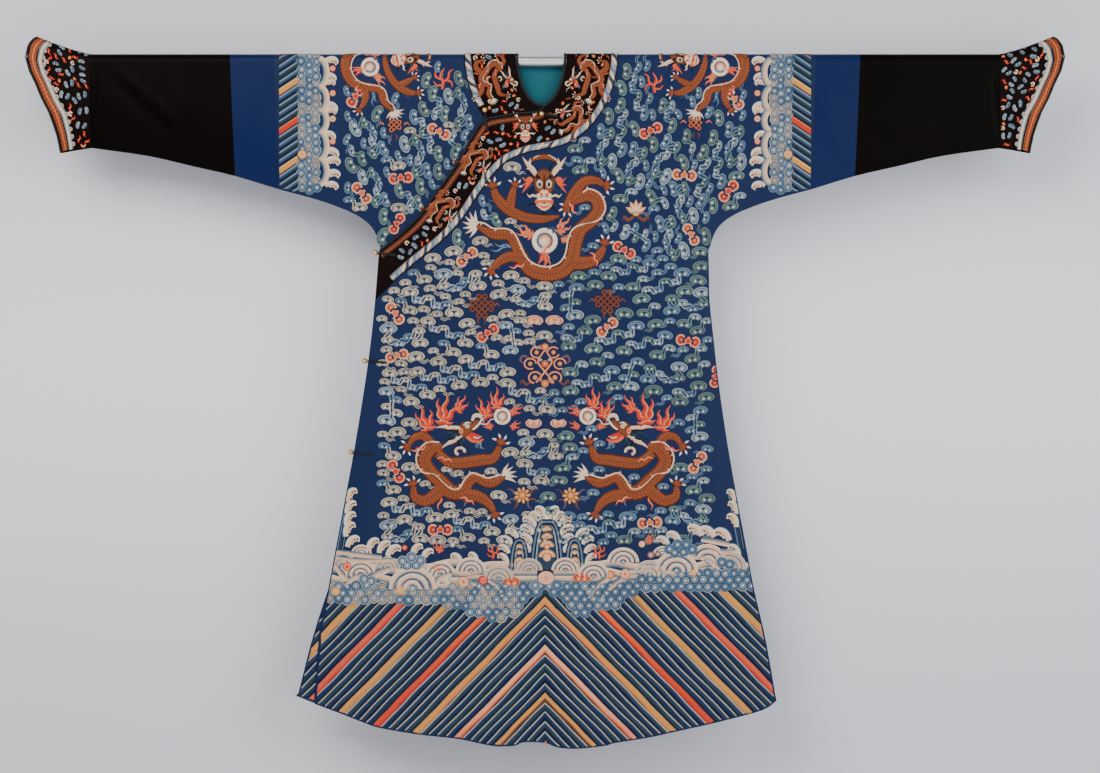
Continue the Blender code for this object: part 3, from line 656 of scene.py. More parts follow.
def cloth_panel(name, cut, mine, wall, finishes, lapped=False):
    """Thin wall of cloth over a panel's triangles: face, lining side and raw edge."""
    verts, tris = cut
    tris = tris[mine]
    edges = np.vstack([tris[:, [0, 1]], tris[:, [1, 2]], tris[:, [2, 0]]])
    size = len(verts)
    edges = edges[~np.isin(edges[:, 0] * size + edges[:, 1], edges[:, 1] * size + edges[:, 0])]
    run = verts[edges[:, 1]] - verts[edges[:, 0]]
    inward = np.stack([-run[:, 1], run[:, 0]], -1)
    inward /= np.linalg.norm(inward, axis=1, keepdims=True)
    push, times = np.zeros((size, 2)), np.zeros(size)
    for end in (0, 1):
        np.add.at(push, edges[:, end], inward)
        np.add.at(times, edges[:, end], 1.0)
    scale = HALF_SEAM * times / np.maximum((push ** 2).sum(1), 0.5)
    flat = verts + push * scale[:, None]
    used, tris_used = np.unique(tris, return_inverse=True)
    tris_used = tris_used.reshape(tris.shape)
    order = np.full(size, -1)
    order[used] = np.arange(len(used))
    flat, n = flat[used], len(used)
    extra = lap(flat[:, 0], flat[:, 1]) if lapped else 0.0
    co = np.vstack([hang(flat[:, 0], flat[:, 1], lift + extra) for lift in wall])
    a, b = order[edges[:, 0]], order[edges[:, 1]]
    rim = np.vstack([np.stack([a, b, b + n], -1), np.stack([a, b + n, a + n], -1)])
    skin = np.vstack([tris_used + n, tris_used[:, ::-1], rim])
    kinds = np.r_[np.zeros(len(tris)), np.ones(len(tris)), np.zeros(len(rim))]
    obj = piece(name, co, skin, finishes, kinds, way=np.vstack([flat, flat]), sharp=0.9)
    a, b, c = (flat[tris_used[:, i]] for i in range(3))
    area = 0.4999 * np.abs((b[:, 0] - a[:, 0]) * (c[:, 1] - a[:, 1])
                           - (b[:, 1] - a[:, 1]) * (c[:, 0] - a[:, 0])).sum()
    return obj, flat, float(area)


def cuff_cloth(name, side, finishes):
    """Horse-hoof cuff as a thin wall, folded over the top and open along the bottom."""
    bend = np.array([0, 0.012, 0.025, 0.04, 0.058, 0.08])
    w = np.r_[bend, np.linspace(0.1, 1.0, 28)]
    w = np.r_[-w[:0:-1], w]
    u = np.linspace(0, 1, 11)
    seam_x, depth = SLEEVE_END[0] + HALF_SEAM, QUARTER + SLEEVE_END[1]
    ax = seam_x + u[:, None] * (cuff_mouth(w)[None] - seam_x)
    x, v = side * ax, np.broadcast_to(-w[None] * depth, ax.shape)
    layers = [cuff_hang(x, v, lift).reshape(-1, 3) for lift in (0.0, CUFF_WALL)]
    rows, cols = ax.shape
    tris, n = grid_tris(rows, cols), rows * cols
    i = np.arange(n).reshape(rows, cols)
    rim = np.r_[i[0], i[1:, -1], i[-1, -2::-1], i[-2:0:-1, 0]]
    a, b = rim, np.roll(rim, -1)
    edge = np.vstack([np.stack([a, b, b + n], -1), np.stack([a, b + n, a + n], -1)])
    skin = np.vstack([tris[:, ::-1] + n, tris, edge])
    kinds = np.r_[np.zeros(len(tris)), np.ones(len(tris)), np.zeros(len(edge))]
    if side < 0:
        skin = skin[:, ::-1]
    flat = np.stack([x.ravel(), v.ravel()], -1)
    area = float((np.diff(ax, axis=0)[:, :-1] * np.abs(np.diff(v, axis=1))[:-1]).sum())
    obj = piece(name, np.vstack(layers), skin, finishes, kinds, way=np.vstack([flat, flat]), sharp=0.9)
    return obj, flat, area


# Needlework

def bands(*parts):
    """Sharp bands of thread across a stitched line, right to left: name, share."""
    total, edge, out = sum(share for _, share in parts), -1.0, []
    for name, share in parts:
        out.append((edge + 0.012, name))
        edge += 2.0 * share / total
        out.append((edge - 0.012, name))
    out[0], out[-1] = (-1.0, out[0][1]), (1.0, out[-1][1])
    return out


def arc(cx, cy, rx, ry, start, end, n, half):
    """Rows of x, y, half-width along part of an ellipse; angles in degrees."""
    a = np.radians(np.linspace(start, end, n))
    return np.stack([cx + rx * np.cos(a), cy + ry * np.sin(a), np.full(n, float(half))], -1)


class Needlework:
    """Embroidery drawn upright on a flat plane, height above the cloth third."""

    def __init__(self):
        self.co, self.thread, self.way, self.tris, self.kinds = [], [], [], [], []
        self.room = []
        self.count = 0

    def put(self, co, thread, way, tris, kind=0):
        self.co.append(co)
        self.thread.append(thread)
        self.way.append(way)
        self.tris.append(np.asarray(tris) + self.count)
        self.kinds.append(np.full(len(tris), kind))
        self.count += len(co)

    def strip(self, path, tones, rise=0.8, gold=False, base=0.0):
        """Stitched line: path rows are x, y, half-width in mm; tones are place across and thread."""
        path = np.asarray(path, float)
        run = np.gradient(path[:, :2], axis=0)
        run /= np.maximum(np.linalg.norm(run, axis=1, keepdims=True), 1e-9)
        left = np.stack([-run[:, 1], run[:, 0]], -1)
        if isinstance(tones, str):
            tones = [(-1, tones), (0, tones), (1, tones)]
        across = np.array([t for t, _ in tones])
        half = path[:, 2:3]
        co = np.empty((len(path), len(across), 3))
        co[..., :2] = path[:, None, :2] + left[:, None] * (half * across)[..., None]
        crown = (1 - np.abs(across) ** 2.5) * rise * np.minimum(1.0, half / 1.2)
        co[..., 2] = base + crown - (0.15 if base == 0 else 0.0)
        length = np.r_[0, np.cumsum(np.linalg.norm(np.diff(path[:, :2], axis=0), axis=1))]
        way = np.stack(np.broadcast_arrays(length[:, None], half * across), -1)
        thread = np.broadcast_to(np.array([dye(t) for _, t in tones]), co.shape)
        self.put(co.reshape(-1, 3) * MM, thread.reshape(-1, 3), way.reshape(-1, 2) * MM,
                 grid_tris(len(path), len(across)), int(gold))
        self.room += [tuple(p * MM) for p in path[::3]]
        return self

    def patch(self, outline, tones, rise=0.9, gold=False, base=0.0, mid=None):
        """Filled shape about its middle; tones are share of the way in and thread."""
        outline = np.asarray(outline, float)[:, :2]
        mid = outline.mean(0) if mid is None else np.array(mid, float)
        if isinstance(tones, str):
            tones = [(0, tones), (0.3, tones), (1, tones)]
        n = len(outline)
        rings = [np.c_[mid + (outline - mid) * (1 - min(s, 0.985)),
                       np.full(n, base + rise * (1 - (1 - s) ** 3) - (0.15 if base == 0 else 0))]
                 for s, _ in tones]
        co = np.vstack(rings + [np.r_[mid, base + rise][None]])
        thread = np.vstack([np.tile(dye(t), (n, 1)) for _, t in tones] + [dye(tones[-1][1])[None]])
        k = np.arange(n)
        nxt = (k + 1) % n
        tris = []
        for r in range(len(tones) - 1):
            a, b = r * n + k, r * n + nxt
            tris += [np.stack([a, b, b + n], -1), np.stack([a, b + n, a + n], -1)]
        last = (len(tones) - 1) * n
        tris.append(np.stack([last + k, last + nxt, np.full(n, len(co) - 1)], -1))
        self.put(co * MM, thread, co[:, :2] * MM, np.vstack(tris), int(gold))
        self.room.append((mid[0] * MM, mid[1] * MM, np.linalg.norm(outline - mid, axis=1).max() * MM))
        return self

    def disc(self, x, y, rx, tones, ry=None, n=10, turn=0.0, **more):
        a = 2 * math.pi * np.arange(n) / n
        ex, ey = rx * np.cos(a), (ry or rx) * np.sin(a)
        c, s = math.cos(math.radians(turn)), math.sin(math.radians(turn))
        return self.patch(np.stack([x + ex * c - ey * s, y + ex * s + ey * c], -1), tones, **more)

    def add(self, other, x=0.0, y=0.0, turn=0.0, size=1.0, mirror=False, lift=0.0):
        """Another piece of needlework, set down in metres and degrees."""
        c, s = math.cos(math.radians(turn)) * size, math.sin(math.radians(turn)) * size
        flip = -1.0 if mirror else 1.0
        for co, thread, way, tris, kinds, first in zip(
                other.co, other.thread, other.way, other.tris, other.kinds,
                np.cumsum([0] + [len(p) for p in other.co])):
            px, py = co[:, 0] * flip, co[:, 1]
            placed = np.stack([x + px * c - py * s, y + px * s + py * c,
                               co[:, 2] * max(size, 0.6) + lift], -1)
            local = tris - first
            self.put(placed, thread, way * size, local[:, ::-1] if mirror else local, kinds[0])
        for rx, ry, r in other.room:
            rx *= flip
            self.room.append((x + rx * c - ry * s, y + rx * s + ry * c, r * size))
        return self

    def arrays(self):
        return (np.vstack(self.co), np.vstack(self.thread), np.vstack(self.way),
                np.vstack(self.tris), np.concatenate(self.kinds))


def to_plane(face, x, y):
    """From the upright view of one side of the robe to the cutting plane."""
    return -face * x, -face * (y - QUARTER) if face == BACK else y - QUARTER


STITCH_LIFT = 0.00025


def side_half(face, x, drop):
    """Half-width of one side of the robe below the armpit, on the side that x is on."""
    half = np.where(x < 0, column(SIDE, drop, 1), column(SIDE, drop, 2))
    return half + np.where((x < 0) & (face == BACK), column(SLIT_FLARE, drop, 1), 0.0)


def lay(name, arrays, face, base, place=hang, edge=None):
    """Carries flat needlework on to the cloth as one piece, cut off just inside the side edges."""
    co, thread, way, tris, kinds = arrays
    x, v = to_plane(face, co[:, 0], co[:, 1])
    if place is hang:
        half = side_half(edge or face, x, -co[:, 1]) - 0.003
        over = (-co[:, 1] > SIDE[0][0] * MM) & (np.abs(x) > half)
        keep = ~over[tris].all(1)
        tris, kinds = tris[keep], kinds[keep]
        x = np.where(over, np.sign(x) * half, x)
    used, order = np.unique(tris, return_inverse=True)
    spots = place(x, v, base(x, v) + co[:, 2] + STITCH_LIFT)
    obj = piece(name, spots[used], order.reshape(tris.shape), threads(), kinds, thread=thread[used],
                way=way[used])
    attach(obj, "root")
    return obj


def stitch_on(name, work, face, base, place=hang, edge=None):
    return lay(name, work.arrays(), face, base, place, edge)


def motif_tree():
    """Geometry Nodes: one motif of a collection on each spot, turned and sized by its attributes."""
    name = "scattered_motifs"
    if name in bpy.data.node_groups:
        return bpy.data.node_groups[name]
    tree = bpy.data.node_groups.new(name, "GeometryNodeTree")
    for label, kind in (("Spots", "NodeSocketGeometry"), ("Motifs", "NodeSocketCollection"),
                        ("Motif Size", "NodeSocketFloat"), ("Thread", "NodeSocketMaterial")):
        tree.interface.new_socket(label, in_out="INPUT", socket_type=kind)
    tree.interface.new_socket("Needlework", in_out="OUTPUT", socket_type="NodeSocketGeometry")
    hand = Shader(tree)
    source, sink = hand.node("NodeGroupInput"), hand.node("NodeGroupOutput")
    motifs = hand.node("GeometryNodeCollectionInfo", {"Collection": source.outputs["Motifs"],
                                                      "Separate Children": True,
                                                      "Reset Children": True})
    read = {label: hand.node("GeometryNodeInputNamedAttribute", {"Name": label}, data_type=kind)
            for label, kind in (("kind", "INT"), ("turn", "FLOAT"), ("size", "FLOAT"))}
    turn = hand.node("ShaderNodeCombineXYZ", {"Z": read["turn"].outputs["Attribute"]})
    size = hand.node("ShaderNodeMath", {0: read["size"].outputs["Attribute"],
                                        1: source.outputs["Motif Size"]}, operation="MULTIPLY")
    even = hand.node("ShaderNodeCombineXYZ", {k: size.outputs[0] for k in "XYZ"})
    laid = hand.node("GeometryNodeInstanceOnPoints", {
        "Points": source.outputs["Spots"], "Instance": motifs.outputs[0], "Pick Instance": True,
        "Instance Index": read["kind"].outputs["Attribute"], "Rotation": turn.outputs[0],
        "Scale": even.outputs[0]})
    real = hand.node("GeometryNodeRealizeInstances", {"Geometry": laid.outputs[0]})
    done = hand.node("GeometryNodeSetMaterial", {"Geometry": real.outputs[0],
                                                 "Material": source.outputs["Thread"]})
    hand.tree.links.new(done.outputs[0], sink.inputs[0])
    return tree


def scatter_on(name, motifs, spots, face, base, place=hang, size=1.0):
    """Sets motifs on spots of the upright view. Spots' columns: x, y, turn in degrees, size, kind,
    tone, height."""
    spots = np.asarray(spots, float).reshape(-1, 7)
    shelf = bpy.data.collections.new(name + "_motifs")
    for i, motif in enumerate(motifs):
        co, thread, way, tris, kinds = motif.arrays()
        obj = piece("motif_%02d_%s" % (i, name), co, tris, [threads()[0]], thread=thread, way=way)
        bpy.context.scene.collection.objects.unlink(obj)
        shelf.objects.link(obj)
    holder_mesh = bpy.data.meshes.new(name + "_spots")
    holder_mesh.from_pydata(np.c_[spots[:, :2], spots[:, 6]].tolist(), [], [])
    for label, kind, values in (("turn", "FLOAT", np.radians(spots[:, 2])),
                                ("size", "FLOAT", spots[:, 3]), ("kind", "INT", spots[:, 4]),
                                ("tone", "FLOAT", spots[:, 5])):
        values = values.astype(np.int32 if kind == "INT" else np.float32)
        holder_mesh.attributes.new(label, kind, "POINT").data.foreach_set("value", values)
    holder = bpy.data.objects.new(name + "_spots", holder_mesh)
    bpy.context.scene.collection.objects.link(holder)
    rule = holder.modifiers.new("motifs", "NODES")
    rule.node_group = motif_tree()
    keys = {item.name: item.identifier for item in rule.node_group.interface.items_tree
            if item.in_out == "INPUT"}
    rule[keys["Motifs"]] = shelf
    rule[keys["Motif Size"]] = size
    rule[keys["Thread"]] = threads()[0]
    holder.update_tag()
    graph = bpy.context.evaluated_depsgraph_get()
    mesh = bpy.data.meshes.new_from_object(holder.evaluated_get(graph),
                                           preserve_all_data_layers=True, depsgraph=graph)
    holder.modifiers.remove(rule)
    bpy.data.objects.remove(holder)
    for obj in list(shelf.objects):
        bpy.data.objects.remove(obj)
    bpy.data.collections.remove(shelf)
    n = len(mesh.vertices)
    if n == 0:
        raise RuntimeError(name + ": the motifs made no mesh")
    co, rgba, tone = np.zeros(n * 3), np.zeros(n * 4), np.zeros(n)
    corners, stitch = np.zeros(len(mesh.loops), np.int32), np.zeros(len(mesh.loops) * 2)
    mesh.vertices.foreach_get("co", co)
    mesh.attributes["thread"].data.foreach_get("color", rgba)
    mesh.attributes["tone"].data.foreach_get("value", tone)
    mesh.loops.foreach_get("vertex_index", corners)
    mesh.attributes["UVMap"].data.foreach_get("vector", stitch)
    way = np.zeros((n, 2))
    way[corners] = stitch.reshape(-1, 2)
    thread = rgba.reshape(-1, 4)[:, :3] * (1.0 + tone)[:, None]
    tris = corners.reshape(-1, 3)
    bpy.data.meshes.remove(mesh)
    return lay(name, (co.reshape(-1, 3), thread, way, tris, np.zeros(len(tris), np.int32)), face, base,
               place)


# Motifs, drawn in mm about their own middle

def cloud_head(work, x, y, size=1.0, turn=0.0, line="mist", fill="slate"):
    """Ruyi head: a dome of lines inside each other that ends in two curls with bright middles."""
    head = Needlework()
    a = np.radians(np.linspace(-12, 192, 10))
    dome = np.stack([16.5 * np.cos(a), 0.6 + 10.6 * np.sin(a)], -1)
    shape = np.vstack([dome, [(-10.0, -7.0), (0.0, -4.4), (10.0, -7.0)]])
    head.patch(shape, [(0, line), (0.16, line), (0.22, "navy"), (0.37, line), (0.5, line), (0.57, fill)],
               rise=0.9, mid=(0, 0))
    for s in (-1, 1):
        head.disc(s * 5.4, -1.4, 4.8, [(0, line), (0.42, line), (0.5, "navy"), (0.68, "white")], n=6,
                  base=0.95,
                  rise=0.4)
    work.add(head, x * MM, y * MM, turn, size)


def cloud_link(work, a, b, bend=4.0, line="sage", fill="slate"):
    """Wavy tail from one cloud head to the next."""
    a, b = np.array(a, float), np.array(b, float)
    side = np.array([-(b - a)[1], (b - a)[0]]) / np.linalg.norm(b - a)
    path = flow([np.r_[a, 3.6], np.r_[a * 0.65 + b * 0.35 + side * bend, 4.4],
                 np.r_[a * 0.35 + b * 0.65 - side * bend, 4.4], np.r_[b, 3.4]], 2)
    work.strip(path, bands((line, 0.3), (fill, 0.4), (line, 0.3)), rise=0.6)


# Cloud groups: heads' x, y, size and turn, with a tail from each to the next
CLOUD_GROUPS = (
    ((-43, 20, 1.05, 0), (-27, 4, 0.75, 0), (-6, 9, 0.7, 0), (10, -6, 0.75, 0), (30, -2, 0.7, 0),
     (44, -19, 1.1, 0)),
    ((-34, 18, 1.1, 0), (-36, -4, 0.8, 0), (-13, -12, 0.75, 0), (7, 1, 0.75, 0), (27, 12, 0.8, 0),
     (29, -12, 1.05, 0)),
    ((-22, 14, 1.05, 0), (-4, -2, 0.7, 0), (19, 4, 0.75, 0), (15, -16, 1.05, 0)),
    ((-15, 26, 0.95, 0), (6, 14, 0.75, 0), (-9, -2, 0.75, 0), (10, -11, 0.8, 0), (-6, -28, 1.1, 0)),
    ((-13, 9, 0.8, 0), (9, -9, 1.05, 0)),
    ((0, 0, 1.1, 0),), ((0, 0, 0.75, 0),),
)
CLOUD_LINES = (("sand", "pale", "sand", "pale", "mist", "sand"),
               ("mist", "pale", "sage", "mist", "pale", "sage"))


def cloud_group(index, mirror=False):
    work, heads = Needlework(), CLOUD_GROUPS[index]
    tones = CLOUD_LINES[mirror]
    for i, (a, b) in enumerate(zip(heads, heads[1:])):
        cloud_link(work, a[:2], b[:2], (4, -4)[i % 2], tones[(i + index + 1) % 6], "deep")
    for i, (x, y, size, turn) in enumerate(heads):
        cloud_head(work, x, y, size, turn, tones[(i + index) % 6], "deep")
    if len(heads) == 1:
        work.strip(flow([(8, -6, 3.0), (15, -11, 2.8), (22, -8, 2.0), (28, -12, 0.2)], 2),
                   bands((tones[index % 6], 0.3), ("deep", 0.4), (tones[index % 6], 0.3)), rise=0.6)
    return Needlework().add(work, mirror=True) if mirror else work


def bat(tone="red", trim="pink"):
    """Bat seen from above, its wings rolled into scrolls."""
    work = Needlework()
    for s in (-1, 1):
        ends = (-140, 140) if s > 0 else (320, 40)
        work.strip(arc(s * 15, 0, 7.4, 8.6, *ends, 13, 3.0),
                   bands((trim, 0.35), ("orange", 0.3), (tone, 0.35))
                   if s > 0 else bands((tone, 0.35), ("orange", 0.3), (trim, 0.35)), rise=1.1)
        work.disc(s * 14.5, 0, 4.0, [(0, "orange"), (0.5, tone), (1, trim)], n=8, base=0.3, rise=0.8)
        work.strip([(s * 4, -3, 1.6), (s * 7, -8, 1.2), (s * 5, -11, 0.2)], trim, base=0.3)
    work.disc(0, 0, 7.6, [(0, trim), (0.18, "orange"), (0.4, tone), (1, tone)], ry=5.4, n=12, base=0.2,
              rise=1.3)
    work.disc(0, 6.0, 3.4, [(0, "orange"), (1, tone)], n=8, base=0.3, rise=1.2)
    for s in (-1, 1):
        work.disc(s * 1.6, 6.6, 0.8, [(0, "white"), (1, "white")], n=5, base=1.4, rise=0.3)
    return work


def eddy(rim="pale", body="mist", heart="white"):
    """Round wave scale of rings inside each other."""
    work = Needlework()
    work.disc(0, 0, 11.5, [(0, "navy"), (0.07, rim), (0.19, rim), (0.25, body), (0.43, "mid"), (0.49, rim),
                           (0.6, rim), (0.66, "deep"), (1, heart)], n=12, rise=0.8)
    work.disc(0, 0, 1.8, [(0, heart), (1, "white")], n=6, base=0.8, rise=0.4)
    return work


def spray(tone="cream"):
    """Tongue of foam that curls over, with round drops on its inner side."""
    work = Needlework()
    work.strip(flow([(0, 0, 4.8), (1.8, 9, 5.2), (0.5, 17, 4.8), (-4.5, 23, 3.6), (-10.5, 24, 2.2),
                     (-13, 21, 0.8)], 3), bands(("mist", 0.16), ("white", 0.2), (tone, 0.5), ("pink", 0.14)))
    for x, y in ((-12.8, 19.0), (-8.6, 17.6), (-6.0, 13.8), (-4.9, 9.0)):
        work.disc(x, y, 2.2, [(0, tone), (1, tone)], n=7, base=0.5, rise=0.6)
    return work


def billow(outer="cream", inner="mist"):
    """Rounded wave of broad bands inside each other, shaded blue on their inner side."""
    work = Needlework()
    for r, half in ((29.5, 4.8), (19.0, 4.4), (9.5, 3.8)):
        work.strip(arc(0, 0, r, r * 0.92, 0, 180, 15, half),
                   bands(("white", 0.1), (outer, 0.4), ("pink", 0.18), (inner, 0.2), ("mid", 0.12)), rise=1.2)
    work.disc(0, 1, 4.5, [(0, "mid"), (0.5, "pale"), (1, "white")], n=10)
    return work


def flame(tone="red"):
    """Three tongues of fire from one root."""
    work = Needlework()
    tones = bands((tone, 0.6), ("orange", 0.26), ("pink", 0.14))
    for path in ([(0, 0, 4.0), (2, 9, 4.4), (-2.5, 19, 3.2), (1.5, 30, 2.2), (-2, 42, 0.2)],
                 [(-1, 1, 3.4), (-8, 7, 3.8), (-8, 15, 3.0), (-13, 22, 1.8), (-12, 31, 0.2)],
                 [(1, 1, 3.4), (9, 5, 3.8), (10, 14, 3.0), (15, 19, 1.8), (13.5, 28, 0.2)]):
        work.strip(flow(path, 4), tones)
    work.strip(flow([(-14, -2, 0.2), (-7, -5, 2.8), (0, -3, 3.6), (8, -5, 2.8), (15, -1, 0.2)], 3), tones)
    return work


def pearl(gap="deep"):
    """Flaming pearl: a pale ring round a curl."""
    work = Needlework()
    work.disc(0, 0, 18, [(0, "copper"), (0.03, "cream"), (0.15, "white"), (0.36, "cream"), (0.4, gap),
                         (0.52, "mist"), (0.62, "cream"), (1, "white")], n=26, rise=1.1)
    work.strip(flow([(-2.5, -14.5, 2.6), (0, -9, 2.8), (5.5, -3.5, 2.8), (5.0, 3.5, 2.6),
                     (-1.5, 6, 2.4), (-5.0, 2.0, 1.4)], 4),
               bands(("orange", 0.35), ("pink", 0.3), ("cream", 0.35)), base=1.1, rise=0.7)
    return work


def claw(work, x, y, turn, size=1.0):
    """Paw with four spread toes, their nails pale."""
    foot = Needlework()
    foot.disc(0, 0, 6.4, [(0, "copper_dark"), (0.3, "copper"), (1, "copper")], n=10, gold=True, rise=1.6)
    for angle in (-72, -24, 24, 72):
        c, s = math.cos(math.radians(angle)), math.sin(math.radians(angle))
        foot.strip(flow([(3 * c, 3 * s, 3.2), (9 * c, 9 * s, 2.6), (13 * c, 13 * s, 2.0)], 2),
                   "copper", gold=True, rise=1.5)
        foot.strip(flow([(12 * c, 12 * s, 2.2), (15.5 * c - s, 15.5 * s + c, 2.0),
                         (20 * c - 3 * s, 20 * s + 3 * c, 0.2)], 2), "white", rise=1.6)
    work.add(foot, x * MM, y * MM, turn, size)


def ridge(work, points, side=1, thick=1.7):
    """Pale spine with its fins."""
    line = flow(points, 4)
    work.strip(np.c_[line, np.full(len(line), thick)], bands(("cream", 0.7), ("pink", 0.3)),
               base=1.4, rise=1.0)
    run = np.gradient(line, axis=0)
    run /= np.linalg.norm(run, axis=1, keepdims=True)
    for p, d in list(zip(line, run))[3::6]:
        out = np.array([-d[1], d[0]]) * side
        tip = p + out * 5.5 + d * 2.5
        work.strip([np.r_[p, 2.4], np.r_[(p + tip) / 2, 1.5], np.r_[tip, 0.1]], "cream",
                   base=1.2, rise=0.8)


def scaled(work, points, edge="copper_dark", fill="copper"):
    """Scaly body or limb of couched thread."""
    work.strip(flow(points, 4), bands((edge, 0.1), (fill, 0.34), ("brown", 0.1), (fill, 0.36), (edge, 0.1)),
               gold=True, rise=2.1)


def fin_tail(work, x, y, turns, length=27):
    """Pale fins that spread from the end of a tail."""
    for turn in turns:
        c, s = math.cos(math.radians(turn)), math.sin(math.radians(turn))
        work.strip(flow([(x, y, 3.4), (x + 0.48 * length * c - 2 * s, y + 0.48 * length * s + 2 * c, 3.0),
                         (x + length * c, y + length * s, 0.2)], 3), bands(("white", 0.4), ("cream", 0.6)),
                         rise=1.4)


def joint_fire(work, x, y, turn, tone="orange"):
    """Curl of fire at a dragon's shoulder or hip."""
    c, s = math.cos(math.radians(turn)), math.sin(math.radians(turn))
    path = [(0, 0, 0.8), (8, 5, 2.4), (16, 0, 2.6), (24, 3, 2.0), (32, -3, 0.2)]
    work.strip(flow([(x + a * c - b * s, y + a * s + b * c, h) for a, b, h in path], 3),
               bands((tone, 0.6), ("pink", 0.4)), base=1.6, rise=0.8)


def mane(work, x, y, turns, length, tones=("slate", "mist")):
    """Locks of hair that sweep out from a point."""
    for i, turn in enumerate(turns):
        c, s = math.cos(math.radians(turn)), math.sin(math.radians(turn))
        reach_out, bend = length * (1.0 - 0.18 * (i % 3)), 4.0 * (-1) ** i
        path = [(0, 0, 2.2), (0.35, bend, 2.1), (0.7, -bend * 0.4, 1.5), (1.0, bend * 0.8, 0.1)]
        work.strip(flow([(x + p * reach_out * c - b * s, y + p * reach_out * s + b * c, h)
                         for p, b, h in path], 3), tones[i % len(tones)], rise=0.7)


def frontal_head():
    """Dragon's face seen from the front."""
    work = Needlework()
    mane(work, 0, 8, (14, 34, 52, 70, 110, 128, 146, 166, 186, 206, -6, -26), 48,
         ("black", "bottle", "slate"))
    mane(work, 0, -18, (-155, -135, -115, -95, -85, -65, -45, -25), 40, ("black", "bottle", "slate"))
    for s in (-1, 1):
        work.strip(flow([(s * 14, 24, 3.4), (s * 22, 36, 5.0), (s * 31, 46, 3.6), (s * 41, 60, 0.3)], 4),
                   bands(("cream", 0.6), ("pink", 0.4)), rise=1.4)
        for x, y, u, v in ((23, 38, 34, 38), (28, 44, 26, 58)):
            work.strip(flow([(s * x, y, 2.8), (s * (x + u) / 2, (y + v) / 2, 2.0), (s * u, v, 0.3)], 3),
                       "cream", rise=1.3)
        work.disc(s * 27, 17, 7.5, [(0, "copper_dark"), (0.3, "orange"), (0.7, "red"), (1, "pink")], ry=6.5,
                  n=12,
                  rise=1.3)
        for turn in (-30, -5, 20):
            work.strip(flow([(s * 26, 12, 2.8), (s * 34, 10 + turn * 0.25, 2.4),
                             (s * 42, 10 + turn * 0.6, 0.3)], 3),
                       bands(("orange", 0.5), ("red", 0.5)), rise=1.1)
    work.patch(flow([(0, 38), (13, 33), (20, 20), (19, 4), (12, -10), (0, -15), (-12, -10), (-19, 4),
                     (-20, 20), (-13, 33)], 2, closed=True),
               [(0, "copper_dark"), (0.16, "brown"), (0.6, "copper"), (1, "brown")], gold=True, rise=2.4)
    for s in (-1, 1):
        for k in range(3):
            work.strip(flow([(s * (6 + 1.5 * k), 19 - k, 0.5), (s * (10 + 2 * k), 23 + 2.2 * k, 1.0),
                             (s * (15 + k), 19 + k, 0.4)], 3), "black", base=2.1, rise=0.4)
        work.disc(s * 9.0, 9.5, 6.2, [(0, "black"), (0.13, "sand"), (0.5, "cream"), (0.56, "slate"),
                                      (1, "black")],
                  ry=9.0, n=14, base=2.0, rise=0.8, mid=(s * 8.4, 6.5))
        work.strip(flow([(s * 3, 15, 0.6), (s * 9, 19.5, 1.6), (s * 16, 14, 0.5)], 3), "copper_dark",
                   base=2.6, rise=0.5)
    work.strip([(0, 27, 0.8), (0, 14, 1.2), (0, -2, 1.4)], "black", base=2.3, rise=0.4)
    work.disc(0, -8, 9.6, [(0, "orange"), (0.3, "pink"), (0.7, "cream"), (1, "white")], ry=7.6, n=14,
              base=1.8, rise=1.4)
    for s in (-1, 1):
        work.disc(s * 4.4, -10, 2.4, [(0, "copper"), (1, "red")], n=8, base=2.9, rise=0.3)
        work.disc(s * 10.5, -13, 4.6, [(0, "pink"), (0.4, "cream"), (1, "white")], n=10, base=1.6, rise=1.1)
        work.strip(flow([(s * 12, -15, 1.8), (s * 22, -12, 2.0), (s * 27, -15, 1.6), (s * 33, -9, 0.2)], 4),
                   "cream",
                   base=1.0, rise=0.8)
    work.patch(flow([(-16, -19), (0, -16), (16, -19), (17, -30), (0, -40), (-17, -30)], 3, closed=True),
               [(0, "copper_dark"), (0.15, "orange"), (0.4, "red"), (0.7, "orange"), (1, "copper")], rise=1.6)
    work.strip(flow([(-13, -20, 1.8), (0, -18, 2.4), (13, -20, 1.8)], 4), "white", base=1.7, rise=0.9)
    work.strip(flow([(-11, -27, 1.5), (0, -31, 2.0), (11, -27, 1.5)], 4), "cream", base=1.7, rise=0.8)
    work.strip(flow([(-14, -30, 1.7), (0, -39, 2.4), (14, -30, 1.7)], 4), "pink", base=0.8, rise=0.9)
    return work


